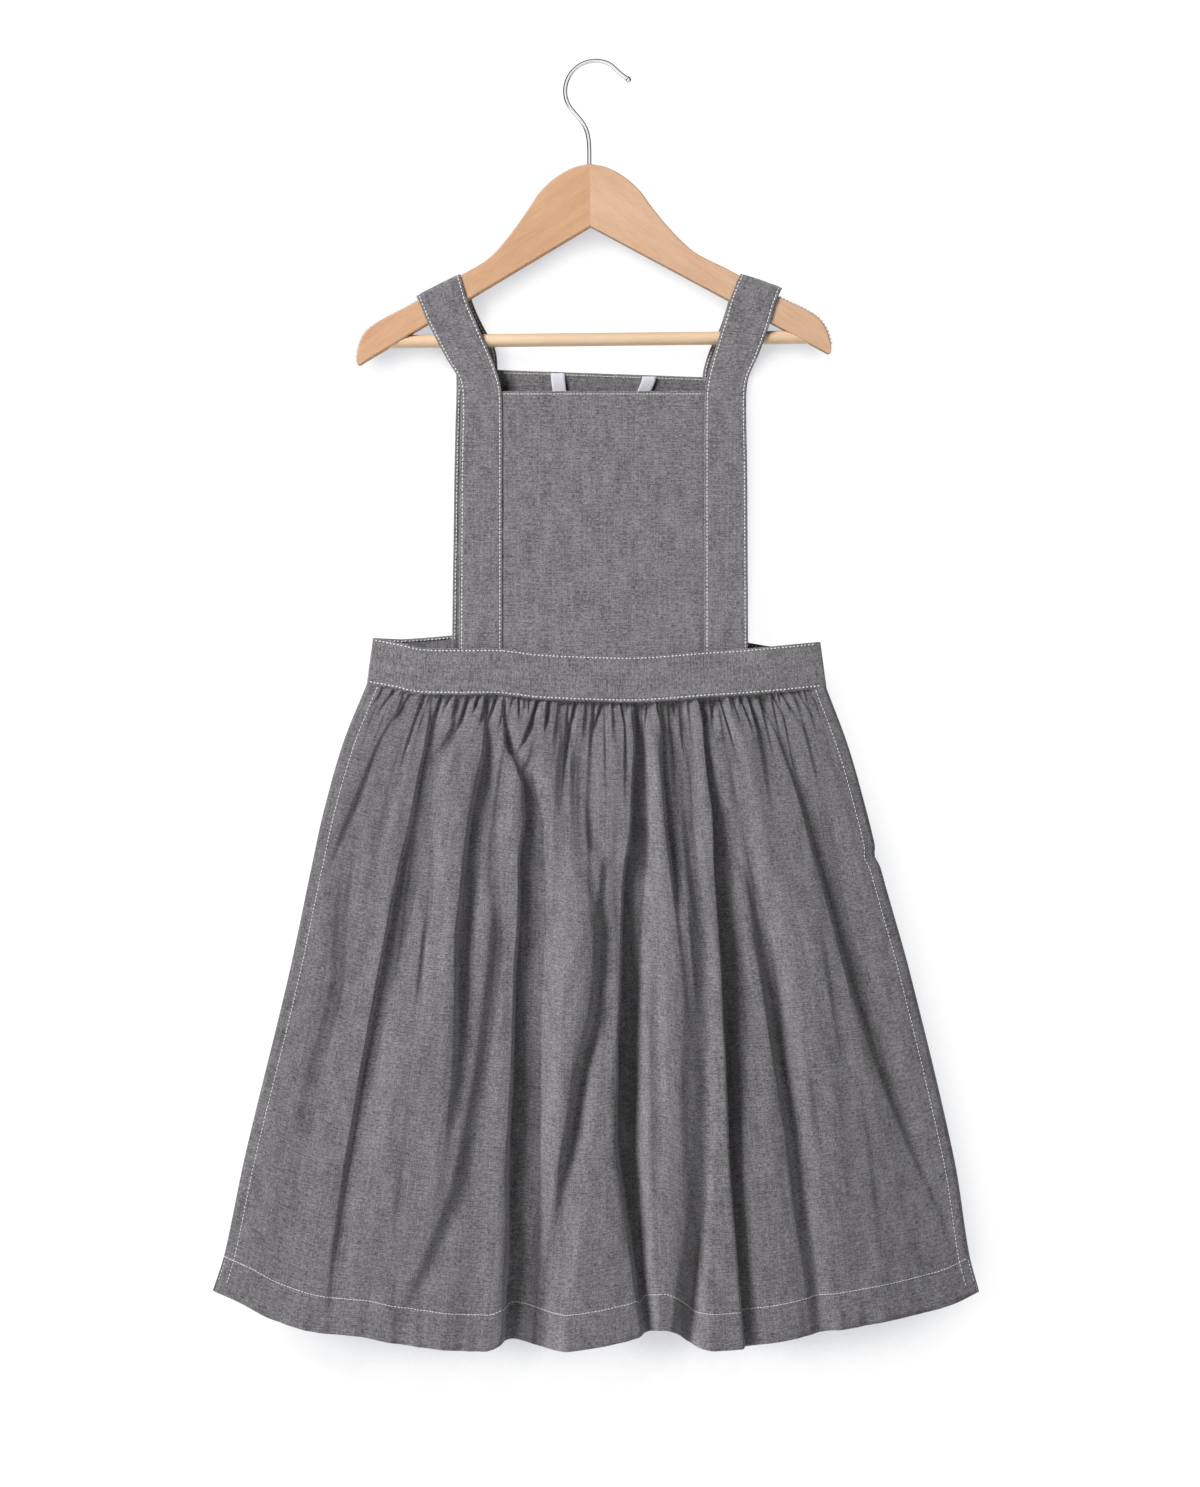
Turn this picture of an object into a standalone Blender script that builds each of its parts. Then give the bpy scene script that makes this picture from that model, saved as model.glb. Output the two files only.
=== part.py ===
"""A child's gathered pinafore apron, hung on its own two-piece wooden hanger.

The frame's origin is the inner top of the hook, where a rail carries the hanger. +Z is up, the
apron's front faces -Y, and left and right are as seen from the front. Lengths in the tables and
in the shape functions are millimetres; each point is scaled to metres when it is placed.
"""

import math

import bmesh
import bpy
from mathutils import Vector

MM = 0.001

# cloth
WALL = 1.2  # thickness of a cloth piece
GAP = 0.3  # space kept between neighbouring pieces
SKIRT_GAP = 0.45  # and between the skirt and the waistbands, whose seam is curved
BIB_X = 5.7  # the bibs' centre line: the apron hangs a little off the hanger's centre
WAIST_X = 0.5  # the waistband's centre line
BIB_HALF_WIDTH = 105.0
BIB_TOP = -249.8
BACK_RAISE = 14.5  # the back hangs this much higher than the front
BACK_SHIFT = -1.2  # and this much further left
BACK_SPREAD = 1.2  # and its straps lie this much further out
BACK_LEAN = 0.035  # the back bib's upper edge falls this much for each unit to the right
BIB_BOTTOM = -458.0  # the bib's lower edge, tucked behind the waistband
STRAP_Y = 7.5  # a strap's outer face, clear of the hanger's board
BIB_Y = STRAP_Y - WALL - GAP
BIB_BOW = 2.4  # the bibs bow out this much to meet the waistbands
BAND_TOP_HALF = 169.3
BAND_BOTTOM_HALF = 173.8
BAND_TOP = -450.6
BAND_BOTTOM = -484.3
BAND_BULGE = 8.6  # how far the waistbands' middle stands off their side seams
BAND_SQUARE = 6.0  # how squarely they turn to their side seams: 2 is round
SEAM_Y = WALL + GAP / 2  # the outer face where a front and a back piece meet
BACK_HEM_LIFT = 9.0  # the back's hem hangs this much higher
TAPE_WALL = 1.0
TAPE_WIDTH = 10.0
TAPE_Y = 4.5  # the tape's face next to the back bib
TAPE_DROP = 62.0
TAPE_LEFT = -29.0
TAPE_RIGHT = 40.3

# hanger
TILT = math.radians(1.4)  # the hanger's right side hangs higher
APEX = (-4.0, -124.3)  # the notch under the arms, where they meet
ARM_THICK = 12.0
ARM_ROUNDING = 2.0
STRAP_SLIDE = 5.1  # the straps sit this far right of the hanger's middle
ARM_TIP = (177.4, -100.6)  # the lower corner of an arm, from the notch
ARM_CORNER = (2.0, 1.2)  # how far this corner is cut off, across and up
BAR_RADIUS = 5.0
BAR_LEFT_Z = -211.1
BAR_RIGHT_Z = -208.1
BAR_END_X = 140.0
BAR_SPARE = 35.0  # left on each end of the bar until it is cut to the arm
WIRE_RADIUS = 1.55
HOOK_CENTRE_Z = -21.4
HOOK_BALL = 2.1
SHANK_X = -5.0
SHANK_BEND = -80.0  # where the wire has become straight, above the wood
SHANK_DEPTH = -102.0  # where the wire ends inside the wood
SHANK_PLAY = 0.5  # the hole is this much deeper
GRIP_WIDTH = 5.0
GRIP_BASE = 0.8
GRIP_TOOTH = 0.8
GRIP_PITCH = 3.0
GRIP_FROM = 122.0  # a grip strip starts here along an arm, under the strap
GRIP_MARGIN = 2.0  # left free at both ends of the strip's edge
CUTTER = 400.0  # wider than anything it cuts
CUTTER_DEEP = 60.0

# the upper edges of the arms, from the middle of the hanger out to the tips: distance, the left
# arm's height above the notch, the right arm's
ARM_TOP_EDGE = (
    (0.0, 47.2, 47.2),
    (12.9, 44.3, 44.3),
    (26.5, 36.9, 36.6),
    (37.9, 26.8, 25.8),
    (45.5, 16.1, 14.8),
    (55.1, 2.9, 2.1),
    (67.5, -12.4, -12.0),
    (80.3, -24.3, -23.1),
    (101.6, -36.1, -34.5),
    (122.0, -47.5, -46.2),
    (143.5, -59.0, -58.2),
    (159.2, -66.6, -66.0),
    (171.3, -74.7, -74.3),
    (177.3, -84.5, -84.5),
    (179.8, -95.5, -95.5),
)

# the wire's arc from its ball tip over the top: degrees above the right side, distance from the
# hook's centre
HOOK_ARC = (
    (19.5, 26.0),
    (26.0, 24.4),
    (37.0, 22.7),
    (50.0, 22.4),
    (62.0, 22.9),
    (90.0, 23.0),
    (180.0, 23.4),
    (218.0, 23.1),
)

# the wire's reverse bend, from the arc's end down to the shank
HOOK_NECK = (
    (-12.6, -42.2),
    (-8.8, -47.6),
    (-6.4, -54.0),
    (-5.2, -63.0),
)

# a front strap's two edges from the waist to the shoulder: inner x, inner z, outer x, outer z from
# the bib's centre line, and how far the row has taken up the hanger's tilt and place
STRAP_EDGES = (
    (76.7, BIB_BOTTOM, 109.0, BIB_BOTTOM, 0.0),
    (76.7, -380.0, 108.6, -380.0, 0.0),
    (76.7, -308.0, 108.2, -308.0, 0.0),
    (76.9, -258.0, 107.4, -258.0, 0.0),
    (78.2, -243.0, 109.2, -240.0, 0.1),
    (84.3, -222.5, 116.9, -225.0, 0.4),
    (91.6, -203.0, 124.6, -208.0, 0.7),
    (99.5, -180.5, 131.5, -191.0, 1.0),
)

# a strap's fold over its arm: the side, then for its inner and its outer edge the place from the
# straps' middle and the height above the wood
STRAP_FOLDS = (
    (-1, 105.9, 2.3, 136.8, 3.9),
    (1, 107.2, 2.4, 135.2, 7.5),
)
STRAP_WRAP = 4.0  # the fold starts this far below the arm's upper edge
STRAP_SQUARE = 0.6  # the fold's squareness: 1 is round

# how much higher the waistbands hang than the front one's lowest place: from -1 at the left side
# seam to 1 at the right, the front one, the back one
BAND_LIFTS = (
    (-1.00, 14.5, 14.5),
    (-0.88, 10.5, 13.5),
    (-0.78, 6.8, 14.5),
    (-0.60, 6.0, 17.0),
    (-0.43, 6.0, 17.5),
    (-0.25, 2.6, 17.0),
    (0.10, 0.3, 15.0),
    (0.23, 0.7, 14.5),
    (0.48, 4.0, 13.0),
    (0.65, 5.8, 11.5),
    (0.81, 8.2, 8.0),
    (1.00, 11.5, 11.5),
)

# the front's hem, which dips at the ridges and rises at the folds: from -1 at the left side seam
# to 1 at the right, the height
HEM_EDGE = (
    (-1.00, -930.0),
    (-0.93, -938.0),
    (-0.85, -949.5),
    (-0.73, -959.0),
    (-0.52, -966.0),
    (-0.30, -970.5),
    (-0.22, -965.0),
    (-0.13, -969.0),
    (-0.05, -970.0),
    (0.07, -966.0),
    (0.16, -959.0),
    (0.25, -968.5),
    (0.31, -969.5),
    (0.43, -966.0),
    (0.58, -959.0),
    (0.72, -953.5),
    (0.85, -945.5),
    (0.93, -939.5),
    (1.00, -930.8),
)

# the skirt's outline going down: share of the way, left edge, right edge, half depth, squareness
SKIRT_ROWS = (
    (0.00, -173.3, 174.3, BAND_BULGE, BAND_SQUARE),
    (0.10, -191.8, 191.4, 14.0, 3.8),
    (0.21, -206.2, 204.6, 20.0, 3.2),
    (0.30, -215.3, 212.2, 25.0, 3.0),
    (0.48, -232.7, 238.8, 32.0, 2.8),
    (0.78, -266.1, 271.4, 37.0, 2.6),
    (0.94, -281.5, 283.0, 38.0, 2.6),
    (1.00, -290.3, 290.3, 38.0, 2.6),
)

# the largest folds: name, x at the seam, at 24 % and 60 % of the way down and at the hem, half
# width, depth as a share of the skirt's half depth, and the shares where it begins and ends
FOLDS = (
    ("left side", -150.0, -187.0, -214.0, -252.0, 17.0, 0.55, 0.00, 1.00),
    ("left", -122.0, -139.0, -176.0, -200.0, 20.0, 0.62, 0.00, 1.00),
    ("left middle", -83.0, -88.0, -96.0, -137.0, 18.0, 0.60, 0.00, 1.00),
    ("left of centre", -64.0, -45.0, -52.0, -55.0, 21.0, 0.75, 0.04, 1.00),
    ("short centre", 2.0, -4.0, -13.0, -30.0, 15.0, 0.50, 0.00, 0.90),
    ("centre", 31.0, 31.0, 28.0, 32.0, 20.0, 0.80, 0.00, 1.00),
    ("right of centre", 78.0, 86.0, 92.0, 106.0, 18.0, 0.68, 0.00, 1.00),
    ("right middle", 96.0, 111.0, 139.0, 167.0, 18.0, 0.62, 0.00, 1.00),
    ("right", 127.0, 164.0, 217.0, 268.0, 19.0, 0.62, 0.00, 0.95),
    ("right side", 150.0, 180.0, 192.0, 240.0, 17.0, 0.55, 0.55, 1.00),
)
FOLD_LEVELS = (0.0, 0.24, 0.60, 1.0)
FOLD_FADE = 0.10  # a fold grows to its depth over this share of the skirt's length

SKIRT_COLUMNS = 56
SKIRT_GRID_ROWS = 13
BAND_COLUMNS = 28
STRAP_COLUMNS = 3

CLOTH = ((0.212, 0.206, 0.218, 1.0), 0.9, 0.0)
TAPE = ((0.72, 0.70, 0.75, 1.0), 0.85, 0.0)
WOOD = ((0.69, 0.41, 0.25, 1.0), 0.45, 0.0)
PALE_WOOD = ((0.85, 0.63, 0.44, 1.0), 0.5, 0.0)
CHROME = ((0.78, 0.78, 0.80, 1.0), 0.12, 1.0)
GRIP = ((0.85, 0.86, 0.86, 1.0), 0.3, 0.0)


def ease(share):
    """A smooth step from 0 to 1 for a share that runs from 0 to 1."""
    share = min(max(share, 0.0), 1.0)
    return share * share * (3 - 2 * share)


def slope_at(rows, row, column):
    """The slope of a table's column at one of its rows, from the rows beside it."""
    before = rows[max(row - 1, 0)]
    after = rows[min(row + 1, len(rows) - 1)]
    return (after[column] - before[column]) / (after[0] - before[0])


def read_table(rows, key):
    """Values of a table at a key, read from a smooth curve through its rows."""
    key = min(max(key, rows[0][0]), rows[-1][0])
    row = max(n for n in range(len(rows) - 1) if rows[n][0] <= key)
    span = rows[row + 1][0] - rows[row][0]
    s = (key - rows[row][0]) / span
    values = []
    for column in range(1, len(rows[0])):
        start, end = rows[row][column], rows[row + 1][column]
        start_slope = slope_at(rows, row, column) * span
        end_slope = slope_at(rows, row + 1, column) * span
        values.append(
            start
            + s * start_slope
            + s**2 * (3 * (end - start) - 2 * start_slope - end_slope)
            + s**3 * (2 * (start - end) + start_slope + end_slope)
        )
    return values


def curve_through(points, steps):
    """Points along a smooth curve through the given points, with so many steps between two."""
    rows = [(float(n), *point) for n, point in enumerate(points)]
    count = (len(points) - 1) * steps
    return [tuple(read_table(rows, n / steps)) for n in range(count + 1)]


def collection(name):
    made = bpy.data.collections.new(name)
    bpy.context.scene.collection.children.link(made)
    return made


def finish(obj, name, home, look=None):
    """Names an object, moves it to its collection and gives it a material of its own."""
    obj.name = name
    obj.data.name = name
    for old in list(obj.users_collection):
        old.objects.unlink(obj)
    home.objects.link(obj)
    if look:
        colour, roughness, metallic = look
        material = bpy.data.materials.new(name)
        material.use_nodes = True
        shader = material.node_tree.nodes["Principled BSDF"]
        shader.inputs["Base Color"].default_value = colour
        shader.inputs["Roughness"].default_value = roughness
        shader.inputs["Metallic"].default_value = metallic
        obj.data.materials.clear()
        obj.data.materials.append(material)
    return obj


def cloth_wall(name, home, columns, rows, place, wall=WALL, look=CLOTH):
    """A wall of cloth. place(across, down) gives its outer face, in millimetres, for shares 0 to 1
    that run to the right and down as its outside is seen."""
    bpy.ops.mesh.primitive_grid_add(x_subdivisions=columns, y_subdivisions=rows, size=1.0)
    obj = bpy.context.object
    for vertex in obj.data.vertices:
        vertex.co = place(vertex.co.x + 0.5, 0.5 - vertex.co.y) * MM
    solidify = obj.modifiers.new("wall", "SOLIDIFY")
    solidify.thickness = wall * MM
    solidify.offset = -1.0
    return finish(obj, name, home, look)


def seen_from_behind(place):
    """The same piece at the back, for a place() that gives its y as a distance from the middle."""

    def mirrored(across, down):
        point = place(1 - across, down)
        return Vector((point.x, -point.y, point.z))

    return mirrored


# ---------------------------------------------------------------- hanger


def hanger_point(x, z):
    """A point of the untilted hanger, measured from its apex, in the tilted one."""
    return (
        APEX[0] + x * math.cos(TILT) - z * math.sin(TILT),
        APEX[1] + x * math.sin(TILT) + z * math.cos(TILT),
    )


def arm_top(x):
    """The arms' upper edge at a place x from the hanger's middle, before the tilt."""
    return read_table(ARM_TOP_EDGE, abs(x))[0 if x < 0 else 1]


def arm_edge(side, start=0.0, steps=3):
    """The upper edge of one arm from a distance out to its tip; its x is always positive."""
    rows = [(row[0], row[1 if side < 0 else 2]) for row in ARM_TOP_EDGE if row[0] >= start]
    return curve_through(rows, steps)


def plate(outline, thickness):
    """An upright mesh plate with the given outline in X and Z, centred on Y = 0."""
    curve = bpy.data.curves.new("outline", "CURVE")
    curve.dimensions = "2D"
    curve.fill_mode = "BOTH"
    curve.extrude = thickness / 2 * MM
    spline = curve.splines.new("POLY")
    spline.points.add(len(outline) - 1)
    for point, (x, z) in zip(spline.points, outline):
        point.co = (x * MM, z * MM, 0.0, 1.0)
    spline.use_cyclic_u = True
    flat = bpy.data.objects.new("outline", curve)
    flat.rotation_euler = (math.radians(90), 0.0, 0.0)
    bpy.context.scene.collection.objects.link(flat)
    bpy.context.view_layer.update()
    evaluated = flat.evaluated_get(bpy.context.evaluated_depsgraph_get())
    mesh = bpy.data.meshes.new_from_object(evaluated)
    work = bmesh.new()
    work.from_mesh(mesh)
    bmesh.ops.remove_doubles(work, verts=work.verts, dist=1e-6)
    bmesh.ops.dissolve_limit(work, angle_limit=0.001, verts=work.verts, edges=work.edges)
    bmesh.ops.recalc_face_normals(work, faces=work.faces)
    work.to_mesh(mesh)
    work.free()
    mesh.transform(flat.matrix_world)
    bpy.data.objects.remove(flat)
    bpy.data.curves.remove(curve)
    obj = bpy.data.objects.new("plate", mesh)
    bpy.context.scene.collection.objects.link(obj)
    return obj


def block(name, home, middle, size, turn=0.0):
    """A box used as a cutter, turned about Y by an angle in radians."""
    bpy.ops.mesh.primitive_cube_add(size=1.0)
    obj = bpy.context.object
    obj.scale = [length * MM for length in size]
    obj.location = [place * MM for place in middle]
    obj.rotation_euler = (0.0, turn, 0.0)
    return hide_cutter(finish(obj, name, home))


def rod(name, home, start, end, radius, sides):
    """A round rod between two points in the plane Y = 0."""
    a, b = Vector(start) * MM, Vector(end) * MM
    bpy.ops.mesh.primitive_cylinder_add(vertices=sides, radius=radius * MM, depth=(b - a).length)
    obj = bpy.context.object
    obj.rotation_euler = (b - a).to_track_quat("Z", "Y").to_euler()
    obj.location = (a + b) / 2
    return finish(obj, name, home)


def hide_cutter(obj):
    obj.hide_render = True
    obj.display_type = "WIRE"
    return obj


def cut(obj, cutter, name):
    boolean = obj.modifiers.new(name, "BOOLEAN")
    boolean.operation = "DIFFERENCE"
    boolean.object = cutter


def arms_outline():
    """The outline of both arms together: the two upper edges and the notched underside."""
    tip = [(ARM_TIP[0] + ARM_CORNER[0], ARM_TIP[1] + ARM_CORNER[1]), ARM_TIP]
    right = arm_edge(1) + tip
    left = [(-x, z) for x, z in reversed(arm_edge(-1)[1:] + tip)]
    outline = right + [(0.0, 0.0)] + left
    return [hanger_point(x, z) for x, z in outline]


def add_arms(home, cutters):
    """Two arms that meet at the hanger's middle, with a hole there for the hook's shank."""
    start = (SHANK_X, 0.0, SHANK_BEND + CUTTER_DEEP)
    end = (SHANK_X, 0.0, SHANK_DEPTH - SHANK_PLAY)
    shank = rod("shank_hole", cutters, start, end, WIRE_RADIUS + GAP, 16)
    hide_cutter(shank)
    for name, side in (("hanger_arm_left", -1), ("hanger_arm_right", 1)):
        arm = plate(arms_outline(), ARM_THICK)
        bevel = arm.modifiers.new("rounded edges", "BEVEL")
        bevel.width = ARM_ROUNDING * MM
        bevel.segments = 3
        bevel.limit_method = "ANGLE"
        bevel.angle_limit = math.radians(60)
        reach = (CUTTER - GAP) / 2
        centre = (APEX[0] - side * reach, 0.0, APEX[1])
        size = (CUTTER, CUTTER_DEEP, CUTTER)
        other_half = block(f"{name}_cut", cutters, centre, size, -TILT)
        cut(arm, other_half, "joint")
        cut(arm, shank, "shank hole")
        finish(arm, name, home, WOOD)


def add_bar(home, cutters):
    """The trouser bar, its ends cut to lie along the arms' undersides."""
    slope = (BAR_RIGHT_Z - BAR_LEFT_Z) / (2 * BAR_END_X)
    middle_z = (BAR_RIGHT_Z + BAR_LEFT_Z) / 2
    reach = BAR_END_X + BAR_SPARE
    start = (-reach, 0.0, middle_z - slope * reach)
    end = (reach, 0.0, middle_z + slope * reach)
    bar = rod("hanger_bar", home, start, end, BAR_RADIUS, 24)
    for side in (-1, 1):
        x, z = hanger_point(side * ARM_TIP[0], ARM_TIP[1])
        turn = side * math.atan2(-ARM_TIP[1], ARM_TIP[0]) - TILT
        normal = Vector((math.sin(turn), 0.0, math.cos(turn)))
        centre = Vector((x, 0.0, z)) + normal * (CUTTER_DEEP / 2 - GAP)
        size = (CUTTER / 2, CUTTER_DEEP, CUTTER_DEEP)
        under = block(f"bar_end_{side}", cutters, centre, size, turn)
        cut(bar, under, f"end {side}")
    return finish(bar, "hanger_bar", home, PALE_WOOD)


def hook_line():
    """The wire's centre line from its ball tip over the top and down into the wood, with the
    wire's radius at each point."""
    tip, leaves = HOOK_ARC[0][0], HOOK_ARC[-1][0]
    line = []
    for along in (-0.9, -0.6, 0.0, 0.55):
        angle = tip + math.degrees(along * HOOK_BALL / HOOK_ARC[0][1])
        line.append((angle, HOOK_ARC[0][1], HOOK_BALL * math.sqrt(1 - along**2)))
    steps = 24
    first = tip + 4.0
    for n in range(steps + 1):
        angle = first + (leaves - first) * n / steps
        line.append((angle, read_table(HOOK_ARC, angle)[0], WIRE_RADIUS))
    points = []
    for angle, out, radius in line:
        x = out * math.cos(math.radians(angle))
        z = HOOK_CENTRE_Z + out * math.sin(math.radians(angle))
        points.append((x, z, radius))
    neck = curve_through((points[-1][:2], *HOOK_NECK, (SHANK_X, SHANK_BEND)), 3)[1:]
    points += [(x, z, WIRE_RADIUS) for x, z in neck]
    points.append((SHANK_X, SHANK_DEPTH, WIRE_RADIUS))
    return points


def add_hook(home):
    curve = bpy.data.curves.new("hook", "CURVE")
    curve.dimensions = "3D"
    curve.bevel_depth = WIRE_RADIUS * MM
    curve.bevel_resolution = 2
    curve.use_fill_caps = True
    points = hook_line()
    spline = curve.splines.new("POLY")
    spline.points.add(len(points) - 1)
    for point, (x, z, radius) in zip(spline.points, points):
        point.co = (x * MM, 0.0, z * MM, 1.0)
        point.radius = radius / WIRE_RADIUS
    obj = bpy.data.objects.new("hanger_hook", curve)
    bpy.context.scene.collection.objects.link(obj)
    return finish(obj, "hanger_hook", home, CHROME)


def grip_outline(side):
    """The toothed outline of one non-slip strip, along the outer part of an arm's upper edge."""
    edge = arm_edge(side, GRIP_FROM, 12)
    lengths = [0.0]
    for a, b in zip(edge, edge[1:]):
        lengths.append(lengths[-1] + math.dist(a, b))
    path = [(length, *point) for length, point in zip(lengths, edge)]
    teeth = int((lengths[-1] - 2 * GRIP_MARGIN) / GRIP_PITCH)
    low, high = [], []
    for n in range(2 * teeth + 1):
        key = GRIP_MARGIN + n * GRIP_PITCH / 2
        here = Vector(read_table(path, key))
        along = (Vector(read_table(path, key + 0.5)) - here).normalized()
        out = Vector((-along.y, along.x))
        height = GRIP_BASE + (GRIP_TOOTH if n % 2 else 0.0)
        low.append(here + out * GAP)
        high.append(here + out * (GAP + height))
    return [hanger_point(side * p.x, p.y) for p in high + low[::-1]]


def add_grips(home):
    for name, side in (("grip_strip_left", -1), ("grip_strip_right", 1)):
        finish(plate(grip_outline(side), GRIP_WIDTH), name, home, GRIP)


# ---------------------------------------------------------------- straps and bibs


def garment_point(side, x, z, hang, shift):
    """A strap point at a distance x from the bib's centre line: side -1 is left, 1 is right. hang
    is how far it has taken up the hanger's place and tilt, and shift moves its lower part."""
    centre = BIB_X + shift
    hung_x, hung_z = hanger_point(STRAP_SLIDE, z - APEX[1])
    x_hung = hung_x + side * x * math.cos(TILT)
    z_hung = z + side * x * math.sin(TILT)
    return Vector(
        (
            (1 - hang) * (centre + side * x) + hang * x_hung,
            (1 - hang) * z + hang * z_hung,
        )
    )


def strap_stations(side):
    """Pairs of inner and outer edge points down the strap's whole length: up the front, over the
    arm and down the back. y is signed, and the front is negative."""
    stations = []
    for front in (True, False):
        raise_by, shift, spread = (0.0, 0.0, 0.0) if front else (BACK_RAISE, BACK_SHIFT, BACK_SPREAD)
        rows = []
        for inner_x, inner_z, outer_x, outer_z, hang in curve_through(STRAP_EDGES, 2):
            lift = raise_by * (1 - ease(hang))
            wide = spread * (1 - hang)
            pair = (
                garment_point(side, inner_x + wide, inner_z + lift, hang, shift),
                garment_point(side, outer_x + wide, outer_z + lift, hang, shift),
            )
            y = -STRAP_Y if front else STRAP_Y
            rows.append([Vector((p.x, y, p.y)) for p in pair])
        stations.append(rows)
    over = []
    _, inner_x, inner_lift, outer_x, outer_lift = next(f for f in STRAP_FOLDS if f[0] == side)
    turns = 12
    for n in range(turns + 1):
        angle = math.pi * n / turns
        y = -STRAP_Y * math.copysign(abs(math.cos(angle)) ** STRAP_SQUARE, math.cos(angle))
        up = math.sin(angle) ** STRAP_SQUARE
        pair = []
        for x, lift in ((inner_x, inner_lift), (outer_x, outer_lift)):
            local_x = STRAP_SLIDE + side * x
            slope = (arm_top(local_x + 1) - arm_top(local_x - 1)) / 2
            normal = Vector((-slope, 1.0)).normalized()
            base = Vector((local_x, arm_top(local_x))) - normal * STRAP_WRAP
            place = base + normal * up * (lift + STRAP_WRAP)
            world_x, world_z = hanger_point(place.x, place.y)
            pair.append(Vector((world_x, y, world_z)))
        over.append(pair)
    return stations[0] + over + list(reversed(stations[1]))


def add_straps(home):
    for name, side in (("strap_left", -1), ("strap_right", 1)):
        stations = strap_stations(side)
        rows = len(stations) - 1

        def place(across, down):
            inner, outer = stations[round((1 - down) * rows)]
            share = across if side > 0 else 1 - across
            return inner.lerp(outer, share)

        cloth_wall(name, home, STRAP_COLUMNS, rows, place)


def bib_place(shift, raise_by, lean):
    """A bib's outer face as distances from the middle plane: flat under the straps, and bowed
    towards the waistband between them."""
    bottom = BIB_BOTTOM + raise_by

    def place(across, down):
        x = BIB_HALF_WIDTH * (2 * across - 1)
        top = BIB_TOP + raise_by - lean * x
        z = top + (bottom - top) * down
        flat = STRAP_EDGES[0][0]
        bow = max(0.0, 1 - (x / flat) ** 2) * ease((down - 0.7) / 0.3)
        return Vector((BIB_X + shift + x, -(BIB_Y + BIB_BOW * bow), z))

    return place


def add_bibs(home):
    cloth_wall("front_bib", home, 8, 8, bib_place(0.0, 0.0, 0.0))
    back = seen_from_behind(bib_place(BACK_SHIFT, BACK_RAISE, BACK_LEAN))
    cloth_wall("back_bib", home, 8, 8, back)


def add_tape(home):
    """The white tape loop: two ends at the back bib's upper edge, and a U that hangs inside."""
    top = BIB_TOP + BACK_RAISE - 1.0
    middle = (TAPE_LEFT + TAPE_RIGHT) / 2
    half = (TAPE_RIGHT - TAPE_LEFT) / 2

    def place(across, down):
        angle = math.pi * (1 - down)
        out = half + TAPE_WIDTH * (0.5 - across)
        deep = TAPE_DROP + TAPE_WIDTH * (0.5 - across)
        x = middle + out * math.copysign(abs(math.cos(angle)) ** 0.7, math.cos(angle))
        z = top - deep * math.sin(angle) ** 0.9
        return Vector((x, TAPE_Y - TAPE_WALL, z))

    cloth_wall("hanging_loop", home, 2, 24, place, TAPE_WALL, TAPE)


# ---------------------------------------------------------------- waistbands and skirt


def band_lift(t, is_front):
    return read_table(BAND_LIFTS, t)[0 if is_front else 1]


def band_place(is_front):
    """A waistband's outer face; the front one dips in the middle and the back one rises."""

    def place(across, down):
        t = 2 * across - 1
        half = BAND_TOP_HALF + (BAND_BOTTOM_HALF - BAND_TOP_HALF) * down
        depth = SEAM_Y + BAND_BULGE * (1 - abs(t) ** BAND_SQUARE)
        z = BAND_TOP + (BAND_BOTTOM - BAND_TOP) * down + band_lift(t, is_front)
        return Vector((WAIST_X + half * t, -depth, z))

    return place


def add_waistbands(home):
    cloth_wall("waistband_front", home, BAND_COLUMNS, 2, band_place(True))
    cloth_wall("waistband_back", home, BAND_COLUMNS, 2, seen_from_behind(band_place(False)))


def folds_at(x, down, mirror):
    """How much of the skirt's depth the folds take away at a place, from 0 to 1."""
    flat = 1.0
    for _, seam, upper, lower, hem, width, depth, begins, ends in FOLDS:
        line = read_table(list(zip(FOLD_LEVELS, (seam, upper, lower, hem))), down)[0]
        off = abs(x * mirror - line) / width
        if off < 1 and begins <= down <= ends:
            grows = ease((down - begins) / FOLD_FADE)
            fades = ease((ends - down) / FOLD_FADE) if ends < 1 else 1.0
            flat *= 1 - depth * grows * fades * 0.5 * (1 + math.cos(math.pi * off))
    return 1 - flat


def skirt_place(is_front):
    """A skirt panel's outer face, from the waistband's lower edge to the hem."""
    mirror = 1 if is_front else -1

    def place(across, down):
        left, right, depth, squareness = read_table(SKIRT_ROWS, down)
        t = 2 * across - 1
        x = left + (right - left) * across
        folds = folds_at(x, down, mirror)
        y = SEAM_Y + depth * (1 - abs(t) ** squareness) * (1 - folds)
        top = BAND_BOTTOM + band_lift(t, is_front) - SKIRT_GAP
        hem = read_table(HEM_EDGE, t)[0]
        if not is_front:
            hem += BACK_HEM_LIFT * (1 - abs(t) ** 4)
        return Vector((x, -y, top + (hem - top) * down))

    return place


def add_skirt(home):
    for name, place in (
        ("skirt_front", skirt_place(True)),
        ("skirt_back", seen_from_behind(skirt_place(False))),
    ):
        cloth_wall(name, home, SKIRT_COLUMNS, SKIRT_GRID_ROWS, place)


def main():
    for obj in list(bpy.data.objects):
        bpy.data.objects.remove(obj)
    home = collection("pinafore apron on a hanger")
    cutters = collection("cutters")
    add_arms(home, cutters)
    add_bar(home, cutters)
    add_hook(home)
    add_grips(home)
    add_straps(home)
    add_bibs(home)
    add_tape(home)
    add_waistbands(home)
    add_skirt(home)


main()
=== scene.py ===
"""The looks of the pinafore apron on its hanger: cloth, stitching, wood, wire and light.

Everything is in the part's own frame: the origin is the inner top of the hook's bend, +Z is up and
the apron's front faces -Y. Lengths here are millimetres, and each mesh is scaled to metres when it
is made. The tables that give a solid's form are the same as the part's own.
"""

import math

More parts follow.
